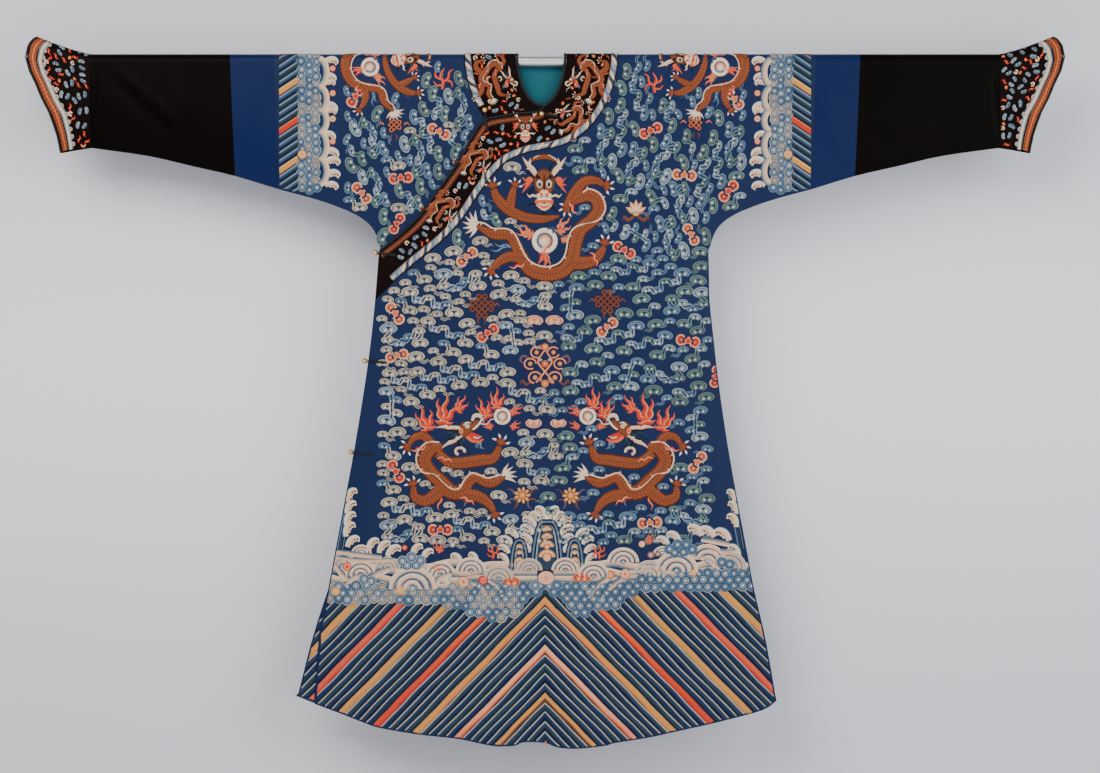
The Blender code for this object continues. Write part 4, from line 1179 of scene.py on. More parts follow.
def frontal_dragon():
    """Dragon that faces forwards and coils round a pearl."""
    work = Needlework()
    mane(work, 20, -26, (-20, -40, -60, -95, -120, -150), 50, ("deep", "mid"))
    mane(work, -66, -66, (-160, 170, 150, 190), 44, ("deep", "mist"))
    mane(work, 66, -76, (-60, -80, -20, -40), 40, ("deep", "mist"))
    mane(work, -92, 20, (120, 150, 180), 34, ("deep", "mid"))
    scaled(work, [(-28, 110, 3), (-12, 117, 5.5), (10, 117, 5.5), (26, 109, 3)])
    work.strip(flow([(-32, 106, 1.4), (-20, 115, 2.4), (-10, 121, 0.4)], 3), "cream", base=1.0)
    work.strip(flow([(30, 105, 1.4), (20, 114, 2.4), (8, 122, 0.4)], 3), "cream", base=1.0)
    scaled(work, [(30, -2, 3), (-2, -8, 9), (-40, -4, 11), (-74, 12, 12), (-95, 34, 11), (-103, 52, 7)])
    scaled(work, [(-70, 10, 10), (-67, 32, 10), (-61, 56, 6)])
    claw(work, -105, 58, 92, 1.0)
    claw(work, -60, 60, 60, 0.85)
    scaled(work, [(44, 14, 9), (60, 44, 11), (82, 68, 11), (105, 70, 9), (119, 62, 6)])
    claw(work, 124, 60, -5, 1.0)
    claw(work, 47, 14, 215, 0.95)
    scaled(work, [(-36, -90, 13), (-66, -84, 12), (-88, -92, 10), (-104, -108, 6)])
    claw(work, -106, -112, 235, 1.0)
    scaled(work, [(48, -98, 14), (76, -97, 15), (100, -92, 12), (115, -76, 9), (121, -64, 6)])
    claw(work, 122, -58, 80, 1.0)
    scaled(work, [(52, 24, 7), (66, 32, 11), (88, 40, 14), (106, 32, 15), (111, 10, 15), (97, -10, 15),
                  (74, -29, 14.5), (63, -58, 14.5), (57, -88, 15), (38, -113, 15), (5, -120, 15.5),
                  (-28, -111, 15), (-46, -86, 14), (-58, -60, 12.5), (-72, -41, 11.5), (-104, -39, 11),
                  (-137, -21, 4)])
    ridge(work, [(78, 46), (91, 53), (114, 42), (124, 14), (110, -10), (84, -17), (61, -26), (49, -46),
                 (43, -78), (30, -97), (6, -105), (-18, -100), (-36, -86), (-48, -62), (-60, -38), (-76, -28),
                 (-104, -27), (-121, -17), (-140, -14)])
    fin_tail(work, -136, -20, (96, 120, 144, 168, 192, 216, 240), 30)
    for x, y, turn in ((92, -76, -60), (-40, -96, 200), (66, 4, 120)):
        joint_fire(work, x, y, turn, "red")
    work.add(frontal_head(), 0.0, 0.053, 0, 1.08)
    work.add(pearl(), 0.001, -0.052, 0, 1.47)
    for x, y, turn, size in ((-30, -40, 60, 0.8), (30, -32, -40, 0.85), (38, -50, -75, 0.5)):
        work.add(flame("orange"), x * MM, y * MM, turn, size)
    work.add(flame("red"), 0.001, -0.080, 180, 0.8)
    return work


def profile_head():
    """Dragon's head seen from the side, its mouth open to the right."""
    work = Needlework()
    mane(work, -10, -2, (140, 156, 172, 188, 204, 220, 236, 252, 268, 284), 46, ("bottle", "black", "slate"))
    for y, turn in ((8, 172), (-6, 205)):
        c, s = math.cos(math.radians(turn)), math.sin(math.radians(turn))
        work.strip(flow([(-8, y, 3.4), (-8 + 20 * c, y + 20 * s, 4.0), (-8 + 34 * c, y + 34 * s + 2, 2.6),
                         (-8 + 50 * c, y + 50 * s, 0.2)], 4), bands(("cream", 0.6), ("pink", 0.4)), rise=1.3)
        work.strip(flow([(-8 + 22 * c, y + 22 * s, 2.6), (-8 + 30 * c, y + 30 * s + 7, 0.2)], 3),
                   "cream", rise=1.2)
    work.patch(flow([(-16, 2), (-8, 16), (4, 19), (16, 15), (22, 21), (30, 14), (24, 3), (12, -2),
                     (4, -9), (-8, -12)], 2, closed=True),
               [(0, "copper_dark"), (0.2, "brown"), (0.7, "copper"), (1, "brown")], gold=True, rise=2.2)
    work.strip(flow([(2, -8, 5.4), (10, -17, 5.0), (22, -21, 3.8), (31, -18, 0.8)], 4),
               bands(("orange", 0.5), ("red", 0.5)), rise=1.8)
    work.strip(flow([(4, -3, 2.2), (14, -8, 3.0), (27, -13, 0.6)], 3), "red", rise=1.2)
    work.strip(flow([(13, 2, 1.6), (22, 7, 1.8), (30, 15, 1.4), (34, 23, 0.2)], 3), "white", base=1.3,
               rise=0.8)
    work.strip(flow([(14, 18, 2.2), (20, 27, 3.6), (30, 25, 3.4), (36, 13, 0.4)], 3), "cream", rise=1.8)
    work.strip(flow([(12, -12, 1.4), (20, -15, 1.6), (28, -13, 0.3)], 3), "cream", base=1.3, rise=0.8)
    work.disc(4, 9, 4.6, [(0, "black"), (0.2, "white"), (0.6, "white"), (0.66, "black"), (1, "black")],
              ry=3.8, n=12, base=2.0, rise=0.7)
    work.strip(flow([(-3, 12, 1.4), (4, 16, 2.0), (12, 15, 0.4)], 3), "cream", base=1.8, rise=0.8)
    work.disc(-9, 2, 4.0, [(0, "pink"), (0.4, "orange"), (1, "red")], ry=5.6, n=9, base=1.4, rise=0.9)
    work.strip(flow([(26, 12, 1.1), (40, 8, 1.2), (50, 16, 0.9), (60, 12, 0.1)], 4), "cream", rise=0.7)
    mane(work, 16, -20, (-56, -72, -88), 22, ("mist", "slate"))
    return work


def striding_dragon():
    """Dragon in profile that strides after a pearl to its right."""
    work = Needlework()
    mane(work, -50, 20, (100, 130, 160), 36, ("deep", "mid"))
    mane(work, 10, -60, (-60, -90, -120, -30), 42, ("deep", "mist"))
    mane(work, -40, -70, (-100, -130), 32, ("orange", "brown"))
    scaled(work, [(-56, 28, 11), (-72, 48, 10), (-92, 46, 8), (-103, 32, 5)])
    claw(work, -105, 27, 205, 0.95)
    scaled(work, [(-40, -62, 15), (-68, -82, 13), (-92, -74, 10), (-94, -54, 6)])
    claw(work, -95, -50, 105, 0.95)
    scaled(work, [(8, -70, 15), (38, -74, 13), (58, -88, 10), (68, -104, 6)])
    claw(work, 70, -108, 285, 0.95)
    scaled(work, [(-46, 14, 10), (-20, -5, 12), (10, -5, 13), (42, 0, 13), (68, 4, 11), (80, 28, 6)])
    claw(work, 82, 34, 70, 1.0)
    scaled(work, [(-36, 27, 9), (-60, 21, 14), (-72, 0, 15), (-62, -22, 15), (-40, -43, 16), (-18, -64, 17),
                  (4, -63, 15), (18, -44, 12), (32, -35, 11), (50, -44, 11), (68, -46, 10), (92, -33, 4)])
    ridge(work, [(-42, 36), (-66, 36), (-85, 18), (-88, -4), (-76, -24), (-52, -29), (-34, -46), (-18, -58),
                 (-2, -57), (10, -38), (24, -26), (42, -31), (58, -36), (82, -29)])
    fin_tail(work, 86, -34, (66, 44, 22, 0, -22), 30)
    work.strip(arc(0, 18, 9, 7, -20, 250, 14, 2.8), bands(("cream", 0.6), ("pink", 0.4)), rise=1.6)
    for x, y, turn in ((-46, 2, -10), (0, -78, -20), (-70, 30, 200)):
        joint_fire(work, x, y, turn, "red")
    work.add(profile_head(), 0.012, 0.058, 8, 1.08)
    return work


def endless_knot(tone="copper", lanes=4, gap=9.0):
    """Interlaced cord: lanes both ways with loops at their ends, stood on a corner."""
    work = Needlework()
    tones = bands(("copper_dark", 0.3), (tone, 0.4), ("copper_dark", 0.3))
    far = (lanes - 1) * gap / 2
    for flip in (False, True):
        net = Needlework()
        for k in range(lanes):
            y = k * gap - far
            wave = [(x, y, 2.3) for x in np.linspace(-far - 2, far + 2, 9)]
            net.strip(wave, tones, base=0.3 * flip, rise=1.1)
        for k in range(lanes // 2):
            y = (2 * k + 0.5) * gap - far
            for s in (-1, 1):
                net.strip(arc(s * (far + 2), y, gap * 0.75, gap / 2, -90 if s > 0 else 270, 90, 8, 2.2),
                          tones)
        work.add(net, 0, 0, 45 + 90 * flip)
    for s in (-1, 1):
        work.strip(flow([(s * 24, 0, 1.6), (s * 31, 5, 1.4), (s * 38, -2, 0.2)], 3), tone)
        work.strip(flow([(s * 4, -24, 1.4), (s * 8, -30, 1.4), (s * 4, -38, 0.2)], 3), "brown")
    return work


def blossom(petals=9, tone="gold", heart="orange", size=1.0):
    """Round flower head over trailing ribbons."""
    work = Needlework()
    for turn, s in ((205, 1), (235, -1), (305, 1), (335, -1), (160, 1), (20, -1)):
        c, d = math.cos(math.radians(turn)), math.sin(math.radians(turn))
        work.strip(flow([(0, 0, 2.2), (14 * c - 3 * s * d, 14 * d + 3 * s * c, 2.4),
                         (26 * c + 3 * s * d, 26 * d - 3 * s * c, 1.8), (36 * c, 36 * d, 0.2)], 4),
                   "mauve" if s > 0 else "brown", rise=0.7)
    for k in range(petals):
        a = 360.0 * k / petals
        c, d = math.cos(math.radians(a)), math.sin(math.radians(a))
        work.disc(12.5 * size * c, 12.5 * size * d, 6.0 * size, [(0, "brown"), (0.2, tone), (1, "yellow")],
                  ry=3.6 * size, n=8, turn=a, base=0.3, rise=1.0)
    work.disc(0, 0, 8.0 * size, [(0, "brown"), (0.2, heart), (0.5, tone), (1, "yellow")], n=12, base=0.9,
              rise=0.9)
    return work


def medallion():
    """Large emblem between the dragons: scrolls and crossed ribbons round a heart."""
    work = Needlework()
    strap = bands(("copper_dark", 0.2), ("orange", 0.3), ("cream", 0.2), ("copper", 0.3))
    for s in (-1, 1):
        for x, y, r, turn in ((17, 27, 12, 40), (30, 4, 12, 0), (20, -24, 13, -40)):
            work.strip(arc(s * x, y, r, r * 0.9, turn, turn + 300, 18, 2.4), strap)
            work.disc(s * x, y, r * 0.42, [(0, "brown"), (0.3, "gold"), (0.6, "orange"), (1, "cream")], n=9,
                      base=0.3)
        work.strip(flow([(s * -18, -34, 2.6), (0, -12, 2.8), (s * 14, 8, 2.8), (s * 6, 24, 2.4),
                         (0, 32, 1.4)], 5),
                   strap, base=0.8)
        work.strip(flow([(s * 30, 14, 1.6), (s * 44, 20, 2.6), (s * 50, 10, 2.2), (s * 42, 4, 0.4)], 4),
                   "mauve")
        work.strip(flow([(s * 26, -30, 1.6), (s * 38, -38, 2.4), (s * 46, -30, 2.0), (s * 50, -38, 0.3)],
                        4), "brown")
        work.disc(s * 9, 12, 4, [(0, "mid"), (0.5, "pale"), (1, "white")], n=8, base=1.2)
    work.disc(0, 38, 8, [(0, "brown"), (0.25, "orange"), (0.6, "gold"), (1, "cream")], n=12, base=0.6)
    work.disc(0, -36, 8, [(0, "brown"), (0.25, "gold"), (0.6, "orange"), (1, "yellow")], n=12, base=0.6)
    work.disc(0, 4, 7, [(0, "gold"), (0.25, "red"), (0.6, "orange"), (1, "cream")], n=12, base=1.2)
    return work


def lotus_emblem():
    """Lotus with its seed head and leaves."""
    work = Needlework()
    for a in (-64, -32, 0, 32, 64):
        c, s = math.cos(math.radians(90 + a)), math.sin(math.radians(90 + a))
        work.strip(flow([(0, -8, 3.0), (9 * c, -8 + 12 * s, 5.4), (20 * c, -8 + 24 * s, 0.3)], 4),
                   bands(("gold", 0.35), ("cream", 0.4), ("orange", 0.25)), rise=1.2)
    work.disc(0, -9, 7, [(0, "brown"), (0.4, "gold"), (1, "cream")], ry=5, n=12, base=0.8)
    for s in (-1, 1):
        work.strip(flow([(s * 4, -14, 2.0), (s * 14, -20, 3.0), (s * 20, -14, 2.2), (s * 24, -20, 0.2)], 4),
                   "brown")
    return work


def coral(tone="red"):
    """Branch of coral."""
    work = Needlework()
    for path in ([(0, -22, 2.6), (2, -8, 2.8), (-3, 6, 2.6), (4, 20, 1.2)],
                 [(1, -8, 2.4), (12, 0, 2.4), (14, 12, 2.0), (22, 18, 0.8)],
                 [(-1, -2, 2.4), (-13, 4, 2.4), (-14, 15, 1.0)],
                 [(2, -12, 2.2), (-10, -14, 2.0), (-18, -6, 0.8)],
                 [(8, -4, 2.0), (18, -8, 1.8), (20, -18, 0.8)]):
        work.strip(flow(path, 4), bands((tone, 0.5), ("orange", 0.5)), rise=1.2)
    return work


def mountain():
    """Rocks that rise out of the waves: nested arches with foam on either side."""
    work = Needlework()

    def sprays(rows):
        for x, y, turn, size, flip in rows:
            work.add(spray(), x * MM, y * MM, turn, size, mirror=flip)

    def rock(x, foot, top, half, hearts):
        work.patch([(x - half * 1.1, foot), (x + half * 1.1, foot), (x + half, foot + (top - foot) * 0.5),
                    (x + half * 0.6, top - 7), (x, top - 1), (x - half * 0.6, top - 7),
                    (x - half, foot + (top - foot) * 0.5)], "slate", rise=0.3)
        for i, tone in enumerate(("deep", "mist", "navy", "pale", "deep")):
            h, t = half - i * 3.2 - 1.6, top - i * 4.0
            if h > 3:
                work.strip(flow([(x - h * 1.15, foot, 1.7), (x - h, foot + (t - foot) * 0.5, 1.7),
                                 (x - h * 0.62, t - 6, 1.7), (x, t, 1.7), (x + h * 0.62, t - 6, 1.7),
                                 (x + h, foot + (t - foot) * 0.5, 1.7), (x + h * 1.15, foot, 1.7)], 3),
                           tone, base=0.1 * (5 - i), rise=1.2)
        for y, w in hearts:
            for k, tone in enumerate(("slate", "gold", "cream", "orange")):
                if w - 3.2 * k > 2:
                    work.strip(arc(x, y, w - 3.2 * k, (w - 3.2 * k) * 0.95, 8, 172, 11, 1.5), tone,
                               base=0.7 + 0.15 * k, rise=1.0)
            work.disc(x, y + 1, max(w - 12, 2), [(0, "pink"), (1, "yellow")], n=8, base=1.2)

    for s in (-1, 1):
        sprays(((s * 60, 1, -s * 34, 1.05, s > 0), (s * 72, -12, -s * 36, 0.95, s > 0),
                (s * 77, -30, -s * 34, 0.95, s > 0),
                (s * 80, -48, -s * 30, 0.9, s > 0)))
    rock(-56, -66, 0, 19, ((-19, 9), (-32, 10), (-48, 12)))
    rock(56, -66, 0, 19, ((-19, 9), (-32, 10), (-48, 12)))
    for s in (-1, 1):
        sprays(((s * 4, 38, -s * 12, 1.15, s > 0), (s * 14, 33, -s * 22, 1.0, s > 0),
                (s * 24, 24, -s * 32, 1.1, s > 0),
                (s * 28, 8, -s * 34, 1.1, s > 0), (s * 31, -10, -s * 30, 1.0, s > 0),
                (s * 33, -28, -s * 30, 0.9, s > 0)))
    rock(0, -64, 37, 31, ((15, 12), (-1, 14), (-19, 17), (-40, 20)))
    return work


# Layouts

# Dark stripes: upper and lower tone; warm ones: upper tone, lower tone, tone they fade to
COLD_PAIRS = (("deep", "navy"), ("slate", "navy"), ("deep", "bottle"), ("slate", "bottle"))
HOT_TONES = (("gold", "orange", "gold"), ("pink", "orange", "red"), ("gold", "brown", "gold"),
             ("orange", "red", "red"))


def stripe(cells, limits, tip, slope, period, side, fade=None):
    """One slanting stripe between limits: its rows run away from the centre line."""
    far = np.arange(0.0, 0.530, 0.002)
    rows, heights, tones, fit = [], [], [], 0
    for t, name in cells:
        drop = tip + 0.5 * (t + 1.0) * period + slope * far
        drop = drop + 0.0009 * np.sin(far * 61 + tip * 70) + 0.0006 * np.sin(far * 127 + tip * 190)
        miss = limits(far, drop)
        inside = np.where(miss < 0)[0]
        fit += len(inside) > 2
        ends = (inside[0], inside[-1]) if len(inside) else (miss.argmin(), miss.argmin())
        along = np.linspace(far[ends[0]], far[ends[1]], 26)
        rows.append(np.stack([side * along, -np.interp(along, far, drop)], -1))
        heights.append((0.9 * (1 - abs(t) ** 3) - 0.12) * MM)
        tones.append(dye(name))
    if not fit:
        return None
    flat = np.stack(rows, 1)
    co = np.concatenate([flat, np.broadcast_to(np.array(heights)[:, None], flat.shape[:2] + (1,))], -1)
    length = np.linspace(0, 1, 26)[:, None] * np.linalg.norm(flat[-1, 0] - flat[0, 0])
    way = np.stack(np.broadcast_arrays(length, np.linspace(0, period, len(rows))[None]), -1)
    tris = grid_tris(26, len(rows))
    tris = tris if side < 0 else tris[:, ::-1]
    p = co.reshape(-1, 3)[tris][..., :2]
    turn = np.cross(p[:, 1] - p[:, 0], p[:, 2] - p[:, 0])
    thread = np.tile(np.array(tones), (26, 1))
    if fade:
        share = 0.8 * smooth((np.abs(co.reshape(-1, 3)[:, :1]) - 0.05) / 0.25)
        thread = thread * (1 - share) + dye(fade) * share
    return co.reshape(-1, 3), thread, way.reshape(-1, 2), tris[np.abs(turn) > 1e-9]


def hem_stripes(face, inner=False, tip=1.085, period=0.0194, slope=1.02):
    """Standing-water stripes that meet in points at the centre, from the waves to the hem."""
    work = Needlework()
    hem = inner_hem() if inner else hem_line(face)
    for side in (-1, 1):
        true = -face * side
        if inner and true > 0:
            continue

        def limits(far, drop):
            floor = face * np.interp(true * far, hem[:, 0], hem[:, 1]) - QUARTER - 0.0025
            edge = side_half(BACK if inner else face, true * np.ones_like(drop), drop) - 0.003
            top = SLIT_TOP + 0.012 if inner else wave_lower(side * far) - 0.030
            miss = np.maximum(np.maximum(top - drop, drop - floor), far - edge)
            return np.maximum(miss, column(SIDE, drop, 1) + 0.0006 - far) if inner else miss

        for k in range(-26, 18):
            upper, lower = COLD_PAIRS[k % len(COLD_PAIRS)]
            spans, fade = (("pale", 0.05), ("sand", 0.12), ("mid", 0.09), (upper, 0.38), (lower, 0.36)), None
            if k % 5 == 0:
                tone, glow, fade = HOT_TONES[(k // 5) % len(HOT_TONES)]
                spans = ((tone, 0.55), (glow, 0.27), ("copper_dark", 0.18))
            made = stripe(bands(*spans), limits, tip + (k + 0.5 * inner) * period, slope, period, side, fade)
            if made:
                work.put(*made)
    return work


def sleeve_stripes(side, face):
    """Slanting stripes next to the sleeve band, on one face of one sleeve."""
    work = Needlework()
    hot = ("gold", "red")
    x = np.linspace(0.5000, 0.5385, 9)
    period, slope = 0.0159, 0.66
    low = np.interp(x, [p[0] * MM for p in UNDERARM[::-1]], [p[1] * MM for p in UNDERARM[::-1]]) - 0.004
    for k in range(-4, 20):
        tone = hot[(k // 5) % 2]
        spans = (("mist", 0.16), ("pale", 0.08), (("slate", "mid")[k % 2], 0.34),
                 (("bottle", "navy")[k % 2], 0.42))
        if k % 5 == 2:
            spans = (("yellow" if tone == "gold" else "orange", 0.2), (tone, 0.62), ("copper_dark", 0.18))
        cols, tones, heights = [], [], []
        for t, name in bands(*spans):
            drop = k * period + 0.5 * (t + 1) * period + slope * (x - x[0])
            cols.append(np.stack([side * x, -np.clip(drop, -QUARTER, low)], -1))
            tones.append(dye(name))
            heights.append(0.9 * (1 - abs(t) ** 3) - 0.12)
        flat = np.stack(cols, 1)
        if np.ptp(flat[..., 1]) < 0.002 or (flat[..., 1] <= -low.min() + 1e-6).all():
            continue
        co = np.concatenate([flat, np.broadcast_to(np.array(heights) * MM, flat.shape[:2])[..., None]], -1)
        way = np.stack(np.broadcast_arrays((x - x[0])[:, None], np.linspace(0, period, len(cols))[None]), -1)
        tris = grid_tris(len(x), len(cols))
        tris = tris if side < 0 else tris[:, ::-1]
        p = co.reshape(-1, 3)[tris]
        area = np.abs(np.cross(p[:, 1, :2] - p[:, 0, :2], p[:, 2, :2] - p[:, 0, :2]))
        if (area > 1e-9).any():
            work.put(co.reshape(-1, 3), np.tile(np.array(tones), (len(x), 1)), way.reshape(-1, 2),
                     tris[area > 1e-9])
    return work


def rope(line, half=6.5, base=0.0):
    """Twisted border of pale strands along a line in metres."""
    work = Needlework()
    path = np.asarray(line) / MM
    work.strip(np.c_[path, np.full(len(path), half)],
               bands(("brown", 0.08), ("mist", 0.3), ("cream", 0.3), ("mist", 0.24), ("brown", 0.08)),
               rise=0.9)
    length = np.r_[0, np.cumsum(np.linalg.norm(np.diff(path, axis=0), axis=1))]
    for i, s in enumerate(np.arange(8, length[-1] - 10, 9.5)):
        def at(d, off):
            p = np.array([np.interp(d, length, path[:, c]) for c in (0, 1)])
            q = np.array([np.interp(d + 1, length, path[:, c]) for c in (0, 1)])
            t = (q - p) / max(np.linalg.norm(q - p), 1e-6)
            return p + np.array([-t[1], t[0]]) * off
        tone = ("cream", "pale", "mist", "cream", "slate")[i % 5]
        work.strip(flow([np.r_[at(s - 8, -half * 0.85), 0.4], np.r_[at(s - 2, -half * 0.2), 2.6],
                         np.r_[at(s + 4, half * 0.5), 2.4], np.r_[at(s + 9, half * 0.9), 0.3]], 3),
                   tone, base=0.7, rise=0.9)
    return work


def resample(line, step):
    line = np.asarray(line, float)
    length = np.r_[0, np.cumsum(np.linalg.norm(np.diff(line, axis=0), axis=1))]
    s = np.linspace(0, length[-1], max(int(length[-1] / step) + 1, 2))
    return np.stack([np.interp(s, length, line[:, c]) for c in (0, 1)], -1)


def offset(line, away):
    run = np.gradient(line, axis=0)
    run /= np.maximum(np.linalg.norm(run, axis=1, keepdims=True), 1e-9)
    return line + np.stack([-run[:, 1], run[:, 0]], -1) * away


class FreeGround:
    """Chart of one side of the robe: how far each cell is from the needlework laid so far."""

    cell, left, foot, shape = 0.0015, -1.10, -1.16, (1467, 887)

    def __init__(self, room):
        self.away = np.full(self.shape, 0.04)
        for x, y, r in room:
            self.fill(x, y, r)

    def fill(self, x, y, r):
        i, j = int((x - self.left) / self.cell), int((y - self.foot) / self.cell)
        n = int((r + 0.022) / self.cell)
        i, j = max(i - n, 0), max(j - n, 0)
        part = self.away[i:i + 2 * n, j:j + 2 * n]
        dx = self.left + (np.arange(i, i + part.shape[0]) + 0.5) * self.cell - x
        dy = self.foot + (np.arange(j, j + part.shape[1]) + 0.5) * self.cell - y
        np.minimum(part, np.hypot(dx[:, None], dy) - r, out=part)

    def at(self, x, y):
        i = np.clip((x - self.left) / self.cell, 0, self.shape[0] - 1).astype(int)
        j = np.clip((y - self.foot) / self.cell, 0, self.shape[1] - 1).astype(int)
        return self.away[i, j]


def fill_spots(rng, shapes, allowed, chart, tries, box, lean=0.0, turns=12.0, margin=0.001, tone=0.12):
    """Throws motifs into free ground. Shapes are lists of circles (x, y, r) by kind."""
    most = max(len(shape) for shape in shapes)
    table = np.array([(list(shape) + [shape[-1]] * most)[:most] for shape in shapes])
    kind = rng.integers(len(shapes), size=tries)
    x, y = rng.uniform(box[0], box[1], tries), rng.uniform(box[2], box[3], tries)
    turn, size = lean + rng.uniform(-turns, turns, tries), rng.uniform(0.92, 1.06, tries)
    shade = rng.uniform(-tone, tone, tries)
    c, s = np.cos(np.radians(turn))[:, None] * size[:, None], np.sin(np.radians(turn))[:, None] * size[:,
                                                                                                       None]
    rings = table[kind]
    rx, ry = x[:, None] + rings[..., 0] * c - rings[..., 1] * s, y[:, None] + rings[..., 0] * s + rings[...,
                                                                                                        1] * c
    r = rings[..., 2] * size[:, None]
    free = np.where((chart.at(rx, ry) > r + margin).all(1))[0]
    ok = allowed(rx[free].ravel(), ry[free].ravel(), r[free].ravel()).reshape(-1, most).all(1)
    spots = []
    for i in free[ok]:
        if (chart.at(rx[i], ry[i]) > r[i] + margin).all():
            for ring in zip(rx[i], ry[i], r[i]):
                chart.fill(*ring)
            spots.append((x[i], y[i], turn[i], size[i], kind[i], shade[i], 0.0))
    return spots


def cloth_room(face, x, y, r, waves=0.985):
    """Whether circles of the upright view lie on the patterned satin of one side."""
    px, pv = to_plane(face, x, y)
    drop = -y
    half = side_half(face, px, drop)
    under = np.interp(np.abs(px), [p[0] * MM for p in UNDERARM[::-1]], [p[1] * MM for p in UNDERARM[::-1]],
                      left=2.0)
    ok = ((np.abs(px) < half - r * 0.45) | (drop < 0.30)) & (drop < waves - r)
    ok &= ((np.abs(px) < 0.335) | (drop < under - r)) & (np.abs(px) < 0.410 - r) & (drop > r * 0.4 + 0.004)
    ring = reach(np.vstack([BORDER_RING, BORDER_RING[:1]]), px, pv)[0]
    ok &= ~within(BORDER_RING, px, pv) & (ring > r + 0.001)
    if face == FRONT:
        ok &= ~within(LAP_BORDER_AREA, px, pv) & (reach(LAP_BORDER_LINE, px, pv)[0] > r + 0.001)
        ok &= reach(LAP_LINE, px, pv)[0] > r + 0.004
    return ok


# Places on the upright front: columns: x, drop, turn, size
BATS = ((-383, 72, 55, 1.0), (-215, 144, -25, 1.0), (-292, 238, 5, 1.0), (-372, 268, -50, 1.0),
        (-300, 330, 60, 0.9), (-158, 398, 40, 1.0), (214, 142, 25, 1.0), (282, 232, -5, 1.0),
        (372, 264, 50, 1.0), (296, 352, -60, 0.95), (160, 384, -30, 1.0), (-304, 512, -55, 1.0),
        (-116, 552, 35, 1.0), (126, 540, 40, 1.0), (290, 568, -10, 1.0), (-300, 598, 15, 0.95),
        (-302, 832, -60, 1.0), (309, 814, 55, 1.0), (-212, 950, 0, 1.0), (212, 936, 5, 1.0),
        (346, 640, 80, 0.9), (383, 78, -50, 1.0))
EMBLEMS = (("knot", -128, 497, 0, 1.0), ("knot", 126, 488, 0, 1.0), ("medallion", 0, 618, 0, 1.0),
           ("blossom", -46, 880, 0, 0.95), ("blossom", 52, 881, 0, 0.95), ("lotus", 184, 300, 0, 1.15),
           ("knot_small", -306, 130, 0, 0.85), ("knot_small", 306, 126, 0, 0.85),
           ("coral", -208, 36, 0, 1.0), ("coral", 222, 44, 0, 0.95), ("ruyi", -22, 528, 0, 1.1),
           ("ruyi", 19, 528, 0, 1.1), ("ruyi", -23, 733, 180, 1.0), ("ruyi", 27, 733, 180, 1.0))


def big_motifs(face):
    """Dragons, pearls, flames and emblems of one side."""
    work = Needlework()
    work.add(frontal_dragon(), -0.0016, -0.313)
    for s in (-1, 1):
        flip = s > 0
        work.add(striding_dragon(), s * 0.172, -0.809, 0, 1.0, mirror=flip)
        work.add(pearl(), s * 0.0865, -0.720, 0, 0.98, mirror=flip)
        for x, drop, turn, size in ((238, 742, 18, 1.15), (205, 728, -8, 1.35), (176, 706, -30, 0.8),
                                    (118, 718, 24, 0.95), (98, 700, -2, 0.95), (66, 712, -62, 0.6),
                                    (110, 742, 60, 0.5), (66, 742, -60, 0.5)):
            work.add(flame(), s * x * MM, -drop * MM, -s * turn, size, mirror=flip)
        work.add(frontal_dragon(), s * 0.318, -0.004, s * 75, 0.72,
                 mirror=not flip) if face == FRONT else None
    ruyi = Needlework()
    cloud_head(ruyi, 0, 0, 1.0, 0, "pink", "orange")
    kinds = {"knot": endless_knot(), "knot_small": endless_knot("orange", 3), "medallion": medallion(),
             "blossom": blossom(), "lotus": lotus_emblem(), "coral": coral(), "ruyi": ruyi}
    for kind, x, drop, turn, size in EMBLEMS:
        work.add(kinds[kind], x * MM, -drop * MM, turn, size, mirror=x > 0)
    return work


def ground_spots(face, work, rng):
    """Cloud groups in the free ground of one side, and its bats."""
    taken = [(x, y, max(r, 0.003)) for x, y, r in work.room]
    bats = [(x * MM, -d * MM, turn, size, i % 2, 0.0, 0.0) for i, (x, d, turn, size) in enumerate(BATS)]
    taken += [(b[0] + dx * math.cos(math.radians(b[2])), b[1] + dx * math.sin(math.radians(b[2])), 0.009)
              for b in bats for dx in (-0.012, 0.0, 0.012)]
    groups = [[((x + s * 5.5 * size) * MM, y * MM, 0.0104 * size) for x, y, size,
               turn in heads for s in (-1, 1)]
              for heads in CLOUD_GROUPS]
    groups += [[(-x, y, r) for x, y, r in g] for g in groups]
    count, spots, chart = len(CLOUD_GROUPS), [], FreeGround(taken)
    for kinds, tries in (((0, 1), 9000), ((2, 3), 9000), ((4,), 9000), ((5,), 12000), ((6,), 14000)):
        for left, right, low, high, side, lean in (
                (-0.41, -0.10, -0.36, -0.005, 1, 90), (0.10, 0.41, -0.36, -0.005, 1, -90),
                (-0.41, 0.0, -0.985, -0.12, 0, 0), (0.0, 0.41, -0.985, -0.12, 1, 0)):
            got = fill_spots(rng, [groups[k + side * count] for k in kinds],
                             lambda x, y, r: cloth_room(face, x, y, r), chart, tries,
                             (left, right, low, high), lean, turns=9.0 if lean == 0 else 30.0, margin=0.0)
            spots += [(x, y, t, s, kinds[int(k)] + side * count, tone, h) for x, y, t, s, k, tone, h in got]
    return spots, bats


# Lower edge of the waves over the stripes, and where the wave scales begin. Columns: x, drop
WAVE_FOOT = ((-440, 1102), (-380, 1107), (-220, 1108), (-165, 1121), (-110, 1139), (-50, 1132), (-37, 1104),
             (0, 1078), (36, 1104), (48, 1130), (58, 1134), (100, 1123), (145, 1111), (165, 1092),
             (194, 1080),
             (275, 1080), (411, 1074), (440, 1074))
SCALES_TOP = ((-440, 1060), (-200, 1064), (-140, 1060), (0, 1060), (150, 1062), (220, 1042), (400, 1030))
